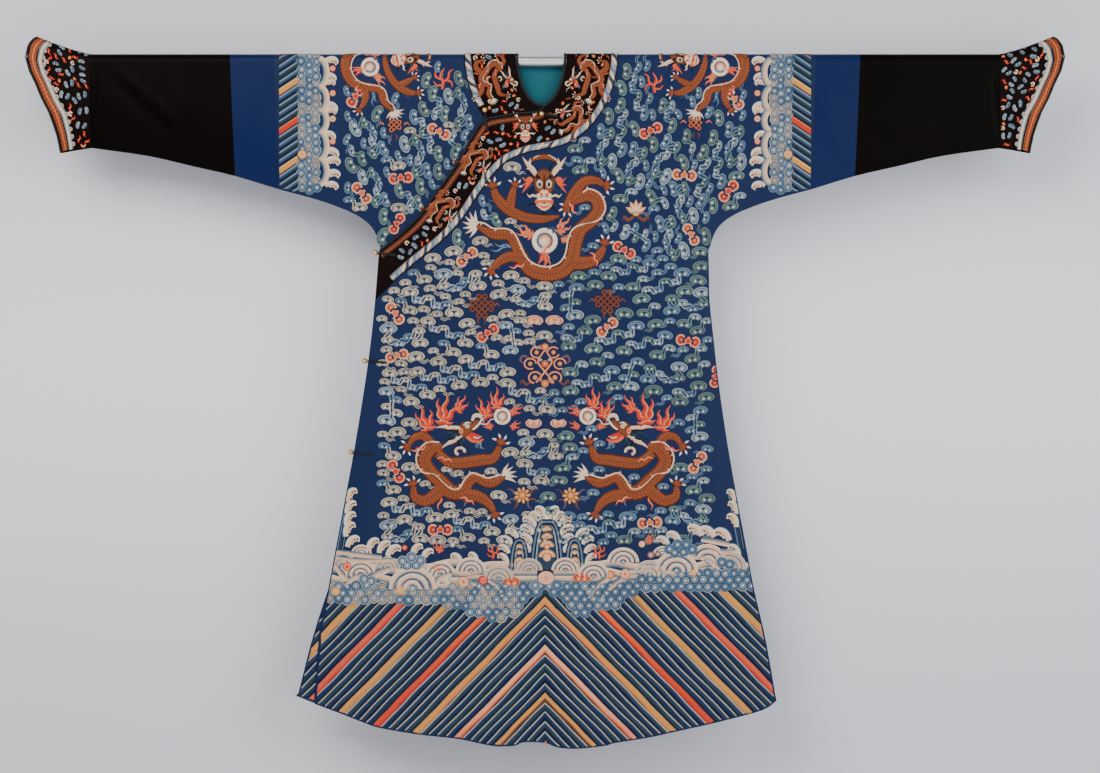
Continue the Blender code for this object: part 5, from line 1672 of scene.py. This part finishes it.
# Foam fingers. Columns: x, drop of the root, lean, size, 1 where the tip points to the right
SPRAYS = ((-401, 893, -12, 1.15, 1), (-402, 917, -12, 1.1, 1), (-403, 941, -10, 1.15, 1),
          (-404, 964, -8, 1.2, 1),
          (-401, 985, -28, 1.15, 1), (-357, 993, -14, 1.15, 1), (-336, 997, -20, 1.15, 1),
          (-319, 1003, -32, 1.2, 1),
          (-268, 1003, -16, 1.1, 1), (-247, 1010, -22, 1.05, 1), (-170, 1018, 24, 1.0, 0),
          (-140, 1020, 4, 1.0, 0),
          (-196, 1062, 28, 1.1, 0), (-116, 1076, -12, 0.9, 1), (-240, 1072, 40, 1.1, 0),
          (82, 1082, 20, 1.0, 0),
          (250, 982, 34, 1.05, 0), (272, 973, 34, 1.1, 0), (318, 962, 34, 1.25, 0), (344, 964, 44, 1.35, 0),
          (374, 972, 34, 1.35, 0), (388, 945, 10, 1.15, 0), (388, 918, 8, 1.05, 0), (384, 893, 6, 1.0, 0),
          (216, 1040, 44, 1.15, 0), (232, 1046, 26, 1.1, 0), (392, 1008, 12, 1.2, 0))
# Rolling waves. Columns: x, drop, turn, size
BILLOWS = ((-412, 1024, 30, 0.9), (-372, 1000, 0, 0.62), (-374, 1042, 12, 0.95), (-318, 1028, 0, 0.75),
           (-212, 1042, 10, 0.9), (-150, 1034, 0, 0.9), (-32, 1032, 0, 0.78), (41, 1032, 0, 0.82),
           (158, 1016, 0, 0.95), (212, 1042, -10, 0.95), (238, 1002, 8, 0.6), (330, 1016, -20, 1.15),
           (374, 1026, -10, 1.0), (266, 1034, -4, 1.3), (-268, 1070, 0, 1.45), (-94, 1050, 0, 0.92),
           (98, 1045, 0, 0.97))
# Broad tongues of water. Columns: three x and drop pairs, half-width
TONGUES = ((-425, 1022, -412, 1040, -396, 1054, 6), (-406, 1064, -388, 1047, -364, 1040, 7),
           (-366, 1060, -346, 1042, -316, 1028, 8), (-226, 1070, -214, 1048, -190, 1038, 7),
           (-150, 1058, -128, 1067, -108, 1104, 9), (-114, 1052, -98, 1064, -84, 1086, 7),
           (88, 1088, 104, 1068, 128, 1046, 8), (108, 1096, 130, 1070, 156, 1050, 8.5),
           (298, 1004, 330, 1008, 354, 1030, 7), (316, 970, 345, 974, 374, 980, 6),
           (330, 990, 358, 995, 386, 993, 7),
           (-424, 994, -380, 1000, -330, 1006, 6), (-424, 1006, -372, 1012, -306, 1010, 5))
# Curled blossoms and fruit among the waves. Columns: x, drop, radius, rim, heart
FRUIT = ((-424, 1075, 10, "gold", "yellow"), (-293, 1072, 11, "gold", "yellow"),
         (-165, 1055, 11, "pink", "orange"),
         (-125, 1052, 10, "red", "orange"), (162, 1039, 10, "pink", "orange"),
         (132, 1041, 9, "orange", "pink"),
         (300, 1037, 8, "gold", "cream"), (-401, 1025, 9, "orange", "red"), (214, 1001, 8, "mauve", "pink"),
         (228, 999, 6, "mauve", "pink"), (-284, 986, 6, "red", "orange"), (196, 979, 7, "pink", "cream"),
         (-187, 980, 6, "pale", "white"))
# Wave scales that ride on the billows. Columns: x, drop
CLUSTERS = ((-288, 1013), (-270, 1005), (-252, 1012), (-279, 1022), (-261, 1022), (-366, 1050), (-352, 1054),
            (-361, 1062), (252, 989), (268, 980), (286, 980), (298, 990), (262, 996), (280, 995), (358, 1016),
            (374, 1020), (-20, 1062), (24, 1062))


def edge_at(table, x):
    rows = np.array(table, float) * MM
    return np.interp(x, rows[:, 0], rows[:, 1])


def wave_lower(x):
    """Scalloped lower edge of the wave border, as a drop."""
    return edge_at(WAVE_FOOT, x)


def wave_spots(rng):
    """Rows of wave scales between the billows and the stripes, bluer on the wearer's left."""
    spots = []
    for row in range(10):
        for x in np.arange(-0.445, 0.4455, 0.0178) + 0.0089 * (row % 2):
            drop = 1.026 + row * 0.0128 + rng.uniform(-0.002, 0.002)
            if drop > wave_lower(x) - 0.0085 or drop < edge_at(SCALES_TOP, x):
                continue
            kinds = (0, 1, 1, 2) if x < -0.05 else (0, 2, 2, 2)
            spots.append((x, -drop, rng.uniform(0, 360), rng.uniform(0.92, 1.14), kinds[rng.integers(4)],
                          rng.uniform(-0.12, 0.12), 0.0012 + 0.00012 * row))
    return spots + [(x * MM, -d * MM, 0.0, 1.0, 2 * (x > 0), 0.1, 0.0026) for x, d in CLUSTERS]


def wave_work():
    """Water, billows, foam, treasures and the mountain above the wave scales."""
    work = Needlework()
    water = (("cream", 0.3), ("pink", 0.16), ("sand", 0.2), ("brown", 0.05), ("mist", 0.17), ("mid", 0.12))
    x = np.arange(-445, 446, 11.0)
    for i, drop in enumerate((1022, 1036, 1050, 1062)):
        calm = 5 * smooth((np.abs(x) - 90) / 60)
        lines = np.stack([x, -drop + calm * np.sin(x / 17 + i * 1.7), np.full(len(x), 8.5)], -1)
        for part in (lines[x < -40 + 26 * (i > 0)], lines[x > 40 - 26 * (i > 0)]):
            work.strip(part, bands(*water[::-1]), rise=0.7, base=0.01)
    for side in (-1, 1):
        drops = np.arange(878, 998, 14.0)
        edge = side * (side_half(FRONT, side * np.ones(len(drops)), drops * MM) / MM - 10)
        work.strip(np.stack([edge, -drops, np.full(len(drops), 7.0)], -1),
                   bands(("mist", 0.14), ("deep", 0.22), ("slate", 0.2), ("navy", 0.2), ("mist", 0.1),
                         ("navy", 0.14)),
                   rise=0.6)
    for tone, other in (("cream", "mist"), ("sand", "pale")):
        rolling = billow(tone, other)
        for row, (x, d, turn, size) in enumerate(BILLOWS):
            if (row % 3 == 0) == (tone == "sand"):
                work.add(rolling, x * MM, -d * MM, turn, size, lift=0.0010 + 0.00004 * row)
    for x0, d0, x1, d1, x2, d2, half in TONGUES:
        work.strip(flow([(x0, -d0, half * 0.7), (x1, -d1, half), (x2, -d2, half * 0.9)], 5), bands(*water),
                   base=1.3, rise=0.9)
    finger = spray()
    for x, d, lean, size, right in SPRAYS:
        work.add(finger, x * MM, -d * MM, lean, size, mirror=right == 1, lift=0.0010)
    work.add(mountain(), 0.004, -0.967, 0, 1.0)
    for x, d, lean, size in ((-212, 992, 30, 0.55), (209, 974, -30, 0.5), (-68, 1052, 0, 0.5),
                             (74, 1043, 20, 0.4),
                             (-215, 1032, 40, 0.5)):
        work.add(flame("red"), x * MM, -d * MM, lean, size, lift=0.0016)
    for x, d in ((-105, 994), (110, 994)):
        work.add(coral(), x * MM, -d * MM, 0, 0.68, mirror=x > 0, lift=0.0016)
    for x, d in ((-68, 1057), (74, 1048)):
        ruyi = Needlework()
        cloud_head(ruyi, 0, 0, 1.1, 0, "orange", "red")
        work.add(ruyi, x * MM, -d * MM, lift=0.0018)
    for x, d, r, rim, heart in FRUIT:
        work.disc(x, -d, r, [(0, "copper_dark"), (0.12, rim), (0.4, rim), (0.46, "cream"), (0.6, rim),
                             (0.72, heart)],
                  n=12, base=2.0, rise=0.9)
    work.disc(2, -1047, 17, [(0, "copper"), (0.1, "pink"), (0.34, "cream"), (0.4, "orange"), (0.5, "cream"),
                             (0.7, "pink"), (0.8, "orange"), (1, "cream")], ry=14, n=20, base=2.0, rise=1.0)
    return work


def sleeve_waves(side):
    """Scales, billow and foam between a sleeve's stripes and its ground."""
    work, spots = Needlework(), []
    rng = np.random.default_rng(11)
    for d in np.arange(-0.014, 0.266, 0.0150):
        for col, x in enumerate((0.493, 0.478, 0.464)):
            drop = d + 0.0075 * (col % 2) + rng.uniform(-0.002, 0.002)
            if drop < np.interp(x, [p[0] * MM for p in UNDERARM[::-1]],
                                [p[1] * MM for p in UNDERARM[::-1]]) - 0.010:
                spots.append((side * (x + rng.uniform(-0.002, 0.002)), -drop, rng.uniform(0, 360),
                              rng.uniform(0.8, 1.0),
                              int(rng.choice([0, 1, 2])), rng.uniform(-.1, .1), 0.0003 + 0.0002 * col))
    water = bands(("cream", 0.34), ("pink", 0.14), ("sand", 0.22), ("mist", 0.18), ("mid", 0.12))
    for d, r in ((24, 26), (78, 24), (122, 22), (172, 27), (224, 25)):
        work.strip(arc(side * 458, -d, 15 * -side, r, -82, 88, 13, 7), water, base=0.9, rise=1.0)
    for i, (d, lean, size) in enumerate(((2, 70, 1.0), (30, 88, 0.9), (48, 60, 0.8), (88, 96, 1.05),
                                         (104, 66, 0.9),
                                         (146, 98, 0.9), (182, 88, 1.1), (206, 66, 1.15), (234, 60, 1.15),
                                         (252, 76, 1.0))):
        work.add(spray(), side * 0.446, -d * MM, side * lean, size, mirror=side < 0, lift=0.0006)
    for d, tone in ((16, "red"), (66, "orange"), (118, "pink"), (164, "red")):
        work.disc(side * 430, -d, 7, [(0, "copper_dark"), (0.2, tone), (0.5, "cream"), (0.6, "orange"),
                                      (1, "yellow")],
                  n=10, base=0.6)
    work.disc(side * 492, -190, 10, [(0, "copper_dark"), (0.2, "gold"), (0.5, "cream"), (0.6, "gold"),
                                     (1, "yellow")],
              n=12, base=1.4)
    return work, spots


def border_line(start, end, away):
    """Part of the neck border's outer ring, in upright front coordinates."""
    ring = np.vstack([BORDER_RING, BORDER_RING[:1]])
    n = len(BORDER_RING)
    line = ring[int(start * n):int(end * n) + 1]
    return offset(resample(line, 0.006), away) + (0, QUARTER)


def small_bits():
    """Tiny motifs that crowd the dark borders."""
    a = Needlework()
    cloud_head(a, 0, 0, 0.46)
    b = Needlework()
    b.strip(flow([(-5, -2, 0.6), (-1, 2, 2.2), (4, 0, 1.8), (5, -4, 0.4)], 3),
            bands(("orange", 0.6), ("pink", 0.4)))
    c = Needlework()
    c.strip(arc(0, 0, 3.6, 3.2, 40, 330, 9, 1.3), "cream")
    c.disc(0, 0, 1.4, "orange", n=6)
    d = Needlework()
    d.disc(0, 0, 4.2, [(0, "copper"), (0.3, "orange"), (1, "gold")], ry=3, n=9)
    e = Needlework()
    e.strip(flow([(-6, 0, 0.4), (-2, 3, 1.7), (3, -1, 1.7), (7, 2, 0.3)], 3), "red")
    e.disc(0, 1, 1.2, "yellow", n=6, base=0.8)
    f = Needlework()
    f.strip(flow([(-4, -5, 0.3), (0, -1, 1.5), (-1, 4, 1.3), (3, 7, 0.2)], 3),
            bands(("copper", 0.5), ("brown", 0.5)))
    g = Needlework()
    cloud_head(g, -5, 2, 0.42, 40, "mist", "slate")
    cloud_head(g, 6, -2, 0.42, -120, "pale", "slate")
    return [a, b, c, d, e, f, g]


BIT_ROOM = (0.0075, 0.0052, 0.0046, 0.0044, 0.0060, 0.0056, 0.0120)


def border_work(rng):
    """Needlework of the neck border and of the lapping border, and spots for small motifs."""
    work = Needlework()
    lap_top = offset(resample(LAP_LINE[2:], 0.006), 0.0085) + (0, QUARTER)
    work.strip(np.c_[lap_top / MM, np.full(len(lap_top), 5.8)],
               bands(("black", 0.1), ("copper_dark", 0.3), ("copper", 0.3), ("copper_dark", 0.3)),
               gold=True, rise=0.9)
    low = offset(resample(LAP_BORDER_LINE, 0.006), -0.0082) + (0, QUARTER)
    work.add(rope(low[:-9]))
    work.add(rope(border_line(0.60, 1.0, -0.0082)))
    work.add(rope(border_line(0.17, 0.405, -0.0082)))
    work.add(rope(border_line(0.405, 0.60, -0.0082)))
    for x, d, turn, size, flip in ((-99, 38, -80, 0.44, False), (84, 38, 80, 0.44, True),
                                   (-138, 206, -125, 0.34, False), (-206, 304, -128, 0.34, False),
                                   (52, 116, 40, 0.34, True)):
        work.add(striding_dragon(), x * MM, -d * MM, turn, size, mirror=flip)
    work.add(frontal_head(), -0.040, -0.140, 0, 0.62)
    for s in (-1, 1):
        work.add(striding_dragon(), s * 0.052, 0.092, 180 + 20 * s, 0.27, mirror=s < 0)

    def allowed(x, y, r):
        v = y - QUARTER
        in_ring = within(BORDER_RING, x, v) & (reach(np.vstack([BORDER_RING, BORDER_RING[:1]]), x,
                                                     v)[0] > r + 0.0145)
        in_ring &= reach(np.vstack([NECK_HOLE, NECK_HOLE[:1]]), x, v)[0] > r + 0.012
        in_ring &= ~within(NECK_HOLE, x, v) & ~within(OVERLAP_AREA, x, v)
        in_lap = within(LAP_BORDER_AREA, x, v) & (reach(LAP_BORDER_LINE, x, v)[0] > r + 0.0145)
        in_lap &= (x > -0.300)
        return (in_ring | in_lap) & (reach(LAP_LINE, x, v)[0] > r + 0.0015 + 0.013 * within(OVERLAP_AREA, x,
                                                                                            v))

    chart = FreeGround([(x, y, max(r, 0.001) * 0.8) for x, y, r in work.room])
    shapes = [[(0.0, 0.0, r)] for r in BIT_ROOM]
    spots = []
    for kinds, tries in (((6,), 1500), ((0, 4), 2500), ((1, 2, 3, 5), 7000)):
        got = fill_spots(rng, [shapes[k] for k in kinds], allowed, chart, tries,
                         (-0.31, 0.155, -0.46, 0.145), turns=180, margin=-0.0004, tone=0.2)
        spots += [(x, y, t, s, kinds[int(k)], tone, h) for x, y, t, s, k, tone, h in got]
    return work, spots


def cuff_work(side, face, rng):
    """Band and wave of one face of one cuff, on its own plane, and spots for its small clouds and bits."""
    work = Needlework()
    depth = QUARTER + SLEEVE_END[1]
    w = np.linspace(0.0, 0.985, 44)
    view = side * -face
    for inset, half, tones, gold, base in (
            (0.0105, 7.6, bands(("copper_dark", 0.1), ("copper", 0.4), ("orange", 0.14), ("copper", 0.36)),
             True, 0.0),
            (0.0265, 5.6, bands(("mist", 0.25), ("cream", 0.5), ("mist", 0.25)), False, 0.0)):
        squeeze = np.minimum(1.0, (cuff_mouth(w) - 0.925) / 0.075)
        x = cuff_mouth(w) - inset * squeeze
        path = np.stack([view * x, -(w * depth - QUARTER), half * MM * squeeze], -1) / MM
        work.strip(path if view > 0 else path, tones, gold=gold, rise=0.9, base=base)
        if not gold:
            for i in range(2, 42, 3):
                px, py = path[i, :2]
                work.disc(px - view * 5.5, py, 4.4, [(0, "mist"), (0.3, "cream"), (0.6, "mid"),
                                                     (1, "cream")], n=9,
                          base=0.4, rise=0.8)

    def allowed(x, y, r):
        share = np.clip((QUARTER - y) / depth, 0, 1)
        return ((np.abs(x) > SLEEVE_END[0] + 0.002 + r) & (np.abs(x) < cuff_mouth(share) - 0.034 - r)
                & (y < QUARTER - 0.004) & (y > QUARTER - depth + r))

    chart = FreeGround([(x, y, r * 0.7) for x, y, r in work.room])
    shapes = [[(0.0, 0.0, r)] for r in BIT_ROOM]
    spots = []
    for kinds, tries in (((6,), 900), ((0, 4), 1500), ((1, 2, 3), 1500)):
        got = fill_spots(rng, [shapes[k] for k in kinds], allowed, chart, tries,
                         (min(view * 0.92, view * 1.03), max(view * 0.92, view * 1.03), -0.18, QUARTER),
                         turns=180, margin=-0.0004, tone=0.2)
        spots += [(x, y, t, s, kinds[int(k)], tone, h) for x, y, t, s, k, tone, h in got]
    return work, spots


# Settings

class RobeSizes(PropertyGroup):
    cloth_step: FloatProperty(name="Cloth Step", description="Spacing of the points that carry the cloth's folds",
                              default=0.013, unit="LENGTH")
    cloud_size: FloatProperty(name="Cloud Size", description="Size of the cloud groups, 1 for as drawn",
                              default=1.0)
    bat_size: FloatProperty(name="Bat Size", description="Size of the bats, 1 for as drawn", default=1.0)
    seed: IntProperty(name="Layout Seed", description="Seed of the cloud layout", default=5)


class RobeColours(PropertyGroup):
    ground: FloatVectorProperty(name="Ground Satin", description="Blue of the patterned satin", size=3,
                                subtype="COLOR", default=(0.0072, 0.0155, 0.0564))
    royal: FloatVectorProperty(name="Sleeve Band", description="Blue of the plain sleeve bands", size=3,
                               subtype="COLOR", default=(0.0048, 0.0120, 0.058))
    extension: FloatVectorProperty(name="Sleeve Extension", description="Brownish black of the long sleeves",
                                   size=3, subtype="COLOR", default=(0.0026, 0.0014, 0.0012))
    border: FloatVectorProperty(name="Dark Border", description="Black of borders and cuffs", size=3,
                                subtype="COLOR", default=(0.0060, 0.0024, 0.0018))
    lining: FloatVectorProperty(name="Lining", description="Teal of the lining", size=3, subtype="COLOR",
                                default=(0.010, 0.100, 0.130))


class RobeStage(PropertyGroup):
    view_width: FloatProperty(name="View Width", description="Width of the picture at the robe",
                              default=2.233,
                              unit="LENGTH")
    distance: FloatProperty(name="Camera Distance", description="Camera to robe", default=6.0, unit="LENGTH")
    wall_gap: FloatProperty(name="Wall Gap", description="Rod's axis to the wall behind", default=0.16,
                            unit="LENGTH")
    key_power: FloatProperty(name="Key Light", description="Power of the large soft light", default=150.0)


class ROBE_OT_cloth(Operator):
    """Cuts and hangs the panels of satin, borders, lining and cuffs"""
    bl_idname = "robe.cloth"
    bl_label = "Hang Cloth"

    def execute(self, context):
        colours = context.scene.robe_colours
        lining = satin_cloth("teal_lining", colours.lining, 0.0009, 0.5, 0.5, 0.1)
        ground_blue = satin_cloth("indigo_satin", colours.ground, 0.0008, 0.35, 0.42, 0.09)
        black = satin_cloth("black_satin", colours.border, 0.0008, 0.3, 0.45, 0.03)
        royal = satin_cloth("royal_satin", colours.royal, 0.0007, 0.35, 0.38, 0.07)
        brown = satin_cloth("brown_black_satin", colours.extension, 0.0009, 0.4, 0.4, 0.03)
        cut = cut_cloth(context.scene.robe_sizes.cloth_step)
        masks = panel_masks(cut)
        plan = {"right_body": (SATIN, ground_blue, "satin_blue", False),
                "left_body": (SATIN, ground_blue, "satin_blue", True),
                "overlap_front": (OVERLAP, ground_blue, "satin_blue", False),
                "neck_border": (BORDER, black, "satin_black", True),
                "overlap_border": (OVERLAP_BORDER, black, "satin_black", False),
                "neck_lining": (LINING, lining, "lining_teal", False)}
        for hand in ("right", "left"):
            plan[hand + "_sleeve_band"] = (SATIN, royal, "satin_royal", False)
            plan[hand + "_sleeve_extension"] = (SATIN, brown, "satin_brown", False)
        for node, (wall, face, slot, lapped) in plan.items():
            obj, flat, area = cloth_panel(node + "_cloth", cut, masks[node], wall, [face, lining], lapped)
            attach(obj, "root")
            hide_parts(node)
        for side, hand in ((-1, "right"), (1, "left")):
            obj, flat, area = cuff_cloth(hand + "_cuff_cloth", side, [black, lining])
            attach(obj, "root")
            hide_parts(hand + "_cuff")
        return {"FINISHED"}


class ROBE_OT_ground(Operator):
    """Embroiders dragons, emblems, clouds and bats on both sides of the satin"""
    bl_idname = "robe.ground"
    bl_label = "Embroider Ground"

    def execute(self, context):
        sizes = context.scene.robe_sizes
        clouds = [cloud_group(i, flip) for flip in (False, True) for i in range(len(CLOUD_GROUPS))]
        bats = [bat(), bat("orange", "cream")]
        for face, side in ((FRONT, "front"), (BACK, "back")):
            rng = np.random.default_rng(sizes.seed + face)
            work = big_motifs(face)
            spots, bat_spots = ground_spots(face, work, rng)
            stitch_on(side + "_dragons", work, face, ground)
            scatter_on(side + "_clouds", clouds, spots, face, ground, size=sizes.cloud_size)
            scatter_on(side + "_bats", bats, bat_spots, face, ground, size=sizes.bat_size)
        return {"FINISHED"}


class ROBE_OT_waves(Operator):
    """Embroiders the mountain, the waves and the stripes above the hem"""
    bl_idname = "robe.waves"
    bl_label = "Embroider Waves"

    def execute(self, context):
        scales = [eddy("pale", "mid"), eddy("sand", "mist", "cream"), eddy("mist", "mid")]
        for face, side in ((FRONT, "front"), (BACK, "back")):
            rng = np.random.default_rng(21 + face)
            stitch_on(side + "_hem_stripes", hem_stripes(face), face, ground)
            scatter_on(side + "_wave_scales", scales, wave_spots(rng), face, ground)
            stitch_on(side + "_waves", wave_work(), face, ground)
        stitch_on("inner_hem_stripes", hem_stripes(FRONT, inner=True), FRONT, satin_face,
                  edge=BACK)
        return {"FINISHED"}


class ROBE_OT_sleeves(Operator):
    """Embroiders stripes and waves next to the sleeve bands"""
    bl_idname = "robe.sleeves"
    bl_label = "Embroider Sleeves"

    def execute(self, context):
        scales = [eddy("pale", "mid"), eddy("sand", "mist", "cream"), eddy("mist", "mid")]
        for face, side in ((FRONT, "front"), (BACK, "back")):
            stripes, foam, spots = Needlework(), Needlework(), []
            for s in (-1, 1):
                stripes.add(sleeve_stripes(s, face))
                work, more = sleeve_waves(s)
                foam.add(work)
                spots += more
            stitch_on(side + "_sleeve_stripes", stripes, face, satin_face)
            scatter_on(side + "_sleeve_scales", scales, spots, face, satin_face)
            stitch_on(side + "_sleeve_foam", foam, face, satin_face)
        return {"FINISHED"}


class ROBE_OT_borders(Operator):
    """Embroiders the dark neck border, the lapping border and the cuffs"""
    bl_idname = "robe.borders"
    bl_label = "Embroider Borders"

    def execute(self, context):
        bits = small_bits()
        rng = np.random.default_rng(33)
        work, spots = border_work(rng)
        stitch_on("border_needlework", work, FRONT, border_face)
        scatter_on("border_bits", bits, spots, FRONT, border_face)
        for side, hand in ((-1, "right"), (1, "left")):
            for face, name in ((FRONT, "front"), (BACK, "back")):
                work, spots = cuff_work(side, face, rng)
                stitch_on("%s_cuff_%s_needlework" % (hand, name), work, face,
                          lambda x, v: np.full(x.shape, CUFF_WALL), place=cuff_hang)
                scatter_on("%s_cuff_%s_bits" % (hand, name), bits, spots, face,
                           lambda x, v: np.full(x.shape, CUFF_WALL), place=cuff_hang)
        return {"FINISHED"}


class ROBE_OT_trims(Operator):
    """Finishes the pipings, loops, buttons and the rod"""
    bl_idname = "robe.trims"
    bl_label = "Finish Trims"

    def execute(self, context):
        cord = plain_material("black_cord", (0.003, 0.0025, 0.003), 0.0, 0.8, 900.0, 0.25)
        brass = plain_material("gilt_brass", (0.80, 0.46, 0.14), 1.0, 0.30, 500.0, 0.12)
        metal = plain_material("satin_rod", (0.74, 0.71, 0.69), 1.0, 0.30, 120.0, 0.04)
        for name, obj in frame["nodes"].items():
            look = (brass if name.startswith("button_") else metal if name == "rod" else
                    cord if name.startswith("loop_") or name.endswith("_binding") else None)
            if look:
                for slot in obj.material_slots:
                    slot.material = look
        return {"FINISHED"}


class ROBE_OT_stage(Operator):
    """Sets the pale wall and floor, the soft lights and the camera"""
    bl_idname = "robe.stage"
    bl_label = "Set Stage"

    def execute(self, context):
        stage = context.scene.robe_stage
        mat, shader, hand = new_material("pale_wall")
        spot = hand.node("ShaderNodeTexCoord").outputs["Object"]
        noise = hand.node("ShaderNodeTexNoise", {"Vector": spot, "Scale": 1.2, "Detail": 2.0})
        # Painted light: a soft band of the wall about the robe's mid-height (z = -0.62) is made up to 35%
        # brighter, as the pool of the lamps' light
        height = hand.node("ShaderNodeSeparateXYZ", {0: spot}).outputs[2]
        level = hand.node("ShaderNodeMath", {0: height, 1: 2.0, 2: 1.24}, operation="MULTIPLY_ADD").outputs[0]
        square = hand.node("ShaderNodeMath", {0: level, 1: level}, operation="MULTIPLY").outputs[0]
        painted_light_pool = hand.node("ShaderNodeMath", {0: 2.718, 1: hand.node(
            "ShaderNodeMath", {0: square, 1: -1.0}, operation="MULTIPLY").outputs[0]},
            operation="POWER").outputs[0]
        even = hand.node("ShaderNodeMath", {0: noise.outputs["Fac"], 1: 0.04, 2: 1.0},
                         operation="MULTIPLY_ADD")
        # Wall shade: the painted pool of light added to a faint random mottle
        shade = hand.node("ShaderNodeMath", {0: painted_light_pool, 1: 0.35, 2: even.outputs[0]}, operation="MULTIPLY_ADD")
        hand.tree.links.new(tint(hand, (0.648, 0.648, 0.685), shade.outputs[0]), shader.inputs["Base Color"])
        shader.inputs["Roughness"].default_value = 0.9
        shader.inputs["Specular IOR Level"].default_value = 0.1
        behind = hand.node("ShaderNodeNewGeometry").outputs["Backfacing"]
        clear = hand.node("ShaderNodeBsdfTransparent").outputs[0]
        one_sided = hand.node("ShaderNodeMixShader", {0: behind, 1: shader.outputs[0], 2: clear}).outputs[0]
        surface = next(n for n in hand.tree.nodes if n.type == "OUTPUT_MATERIAL").inputs["Surface"]
        hand.tree.links.new(one_sided, surface)
        turn = np.radians(np.linspace(0, 90, 9))
        floor_z, r, y0 = -1.95, 0.4, stage.wall_gap
        profile = [(-7.0, floor_z)] + [(y0 - r + r * math.sin(a),
                                        floor_z + r - r * math.cos(a)) for a in turn]
        profile += [(y0, 2.6)]
        co = [(x, y, z) for y, z in profile for x in (-4.5, 4.5)]
        tris = grid_tris(len(profile), 2)[:, ::-1]
        piece("wall_and_floor", co, tris, [mat])
        aim = Vector((0.010, 0.0, -0.660))
        camera = bpy.data.cameras.new("camera")
        camera.angle = 2 * math.atan(stage.view_width / 2 / stage.distance)
        view = bpy.data.objects.new("camera", camera)
        view.location = aim + Vector((0.0, -stage.distance, 0.0))
        view.rotation_euler = (math.pi / 2, 0.0, 0.0)
        context.scene.collection.objects.link(view)
        context.scene.camera = view
        for name, place, size, power, colour in (
                ("key", (-1.8, -3.4, 1.6), (3.0, 2.2), stage.key_power, (1.0, 0.985, 0.96)),
                ("fill", (2.4, -3.2, 0.2), (2.6, 2.6), stage.key_power * 0.62, (0.95, 0.97, 1.0)),
                ("low", (0.0, -3.8, -1.6), (3.0, 1.0), stage.key_power * 0.20, (1.0, 1.0, 1.0))):
            light = bpy.data.lights.new(name, "AREA")
            light.shape, light.size, light.size_y = "RECTANGLE", size[0], size[1]
            light.energy, light.color = power, colour
            lamp = bpy.data.objects.new(name, light)
            lamp.location = place
            lamp.rotation_euler = (Vector((0, 0, -0.6)) - Vector(place)).to_track_quat("-Z", "Y").to_euler()
            context.scene.collection.objects.link(lamp)
        world = context.scene.world or bpy.data.worlds.new("world")
        context.scene.world = world
        world.use_nodes = True
        air = next(n for n in world.node_tree.nodes if n.type == "BACKGROUND")
        air.inputs["Color"].default_value = (0.84, 0.88, 0.95, 1.0)
        air.inputs["Strength"].default_value = 0.35
        return {"FINISHED"}


class ROBE_PT_panel(Panel):
    bl_label = "Dragon Robe"
    bl_idname = "ROBE_PT_panel"
    bl_space_type = "VIEW_3D"
    bl_region_type = "UI"
    bl_category = "Robe"

    def draw(self, context):
        for group in (context.scene.robe_sizes, context.scene.robe_colours, context.scene.robe_stage):
            for key in group.__annotations__:
                self.layout.prop(group, key)
        for operator in OPERATORS:
            self.layout.operator(operator.bl_idname)


OPERATORS = (ROBE_OT_cloth, ROBE_OT_ground, ROBE_OT_waves, ROBE_OT_sleeves, ROBE_OT_borders, ROBE_OT_trims,
             ROBE_OT_stage)
GROUPS = (("robe_sizes", RobeSizes), ("robe_colours", RobeColours), ("robe_stage", RobeStage))


def register():
    for name, group in GROUPS:
        bpy.utils.register_class(group)
        setattr(bpy.types.Scene, name, PointerProperty(type=group))
    for cls in OPERATORS + (ROBE_PT_panel,):
        bpy.utils.register_class(cls)


def unregister():
    for cls in (ROBE_PT_panel,) + OPERATORS[::-1]:
        bpy.utils.unregister_class(cls)
    for name, group in GROUPS[::-1]:
        delattr(bpy.types.Scene, name)
        bpy.utils.unregister_class(group)


def corners(box):
    return [[float(c) for c in corner] for corner in box]


def main():
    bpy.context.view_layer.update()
    register()
    for operator in OPERATORS:
        group, action = operator.bl_idname.split(".")
        getattr(getattr(bpy.ops, group), action)()


if __name__ == "__main__":
    main()
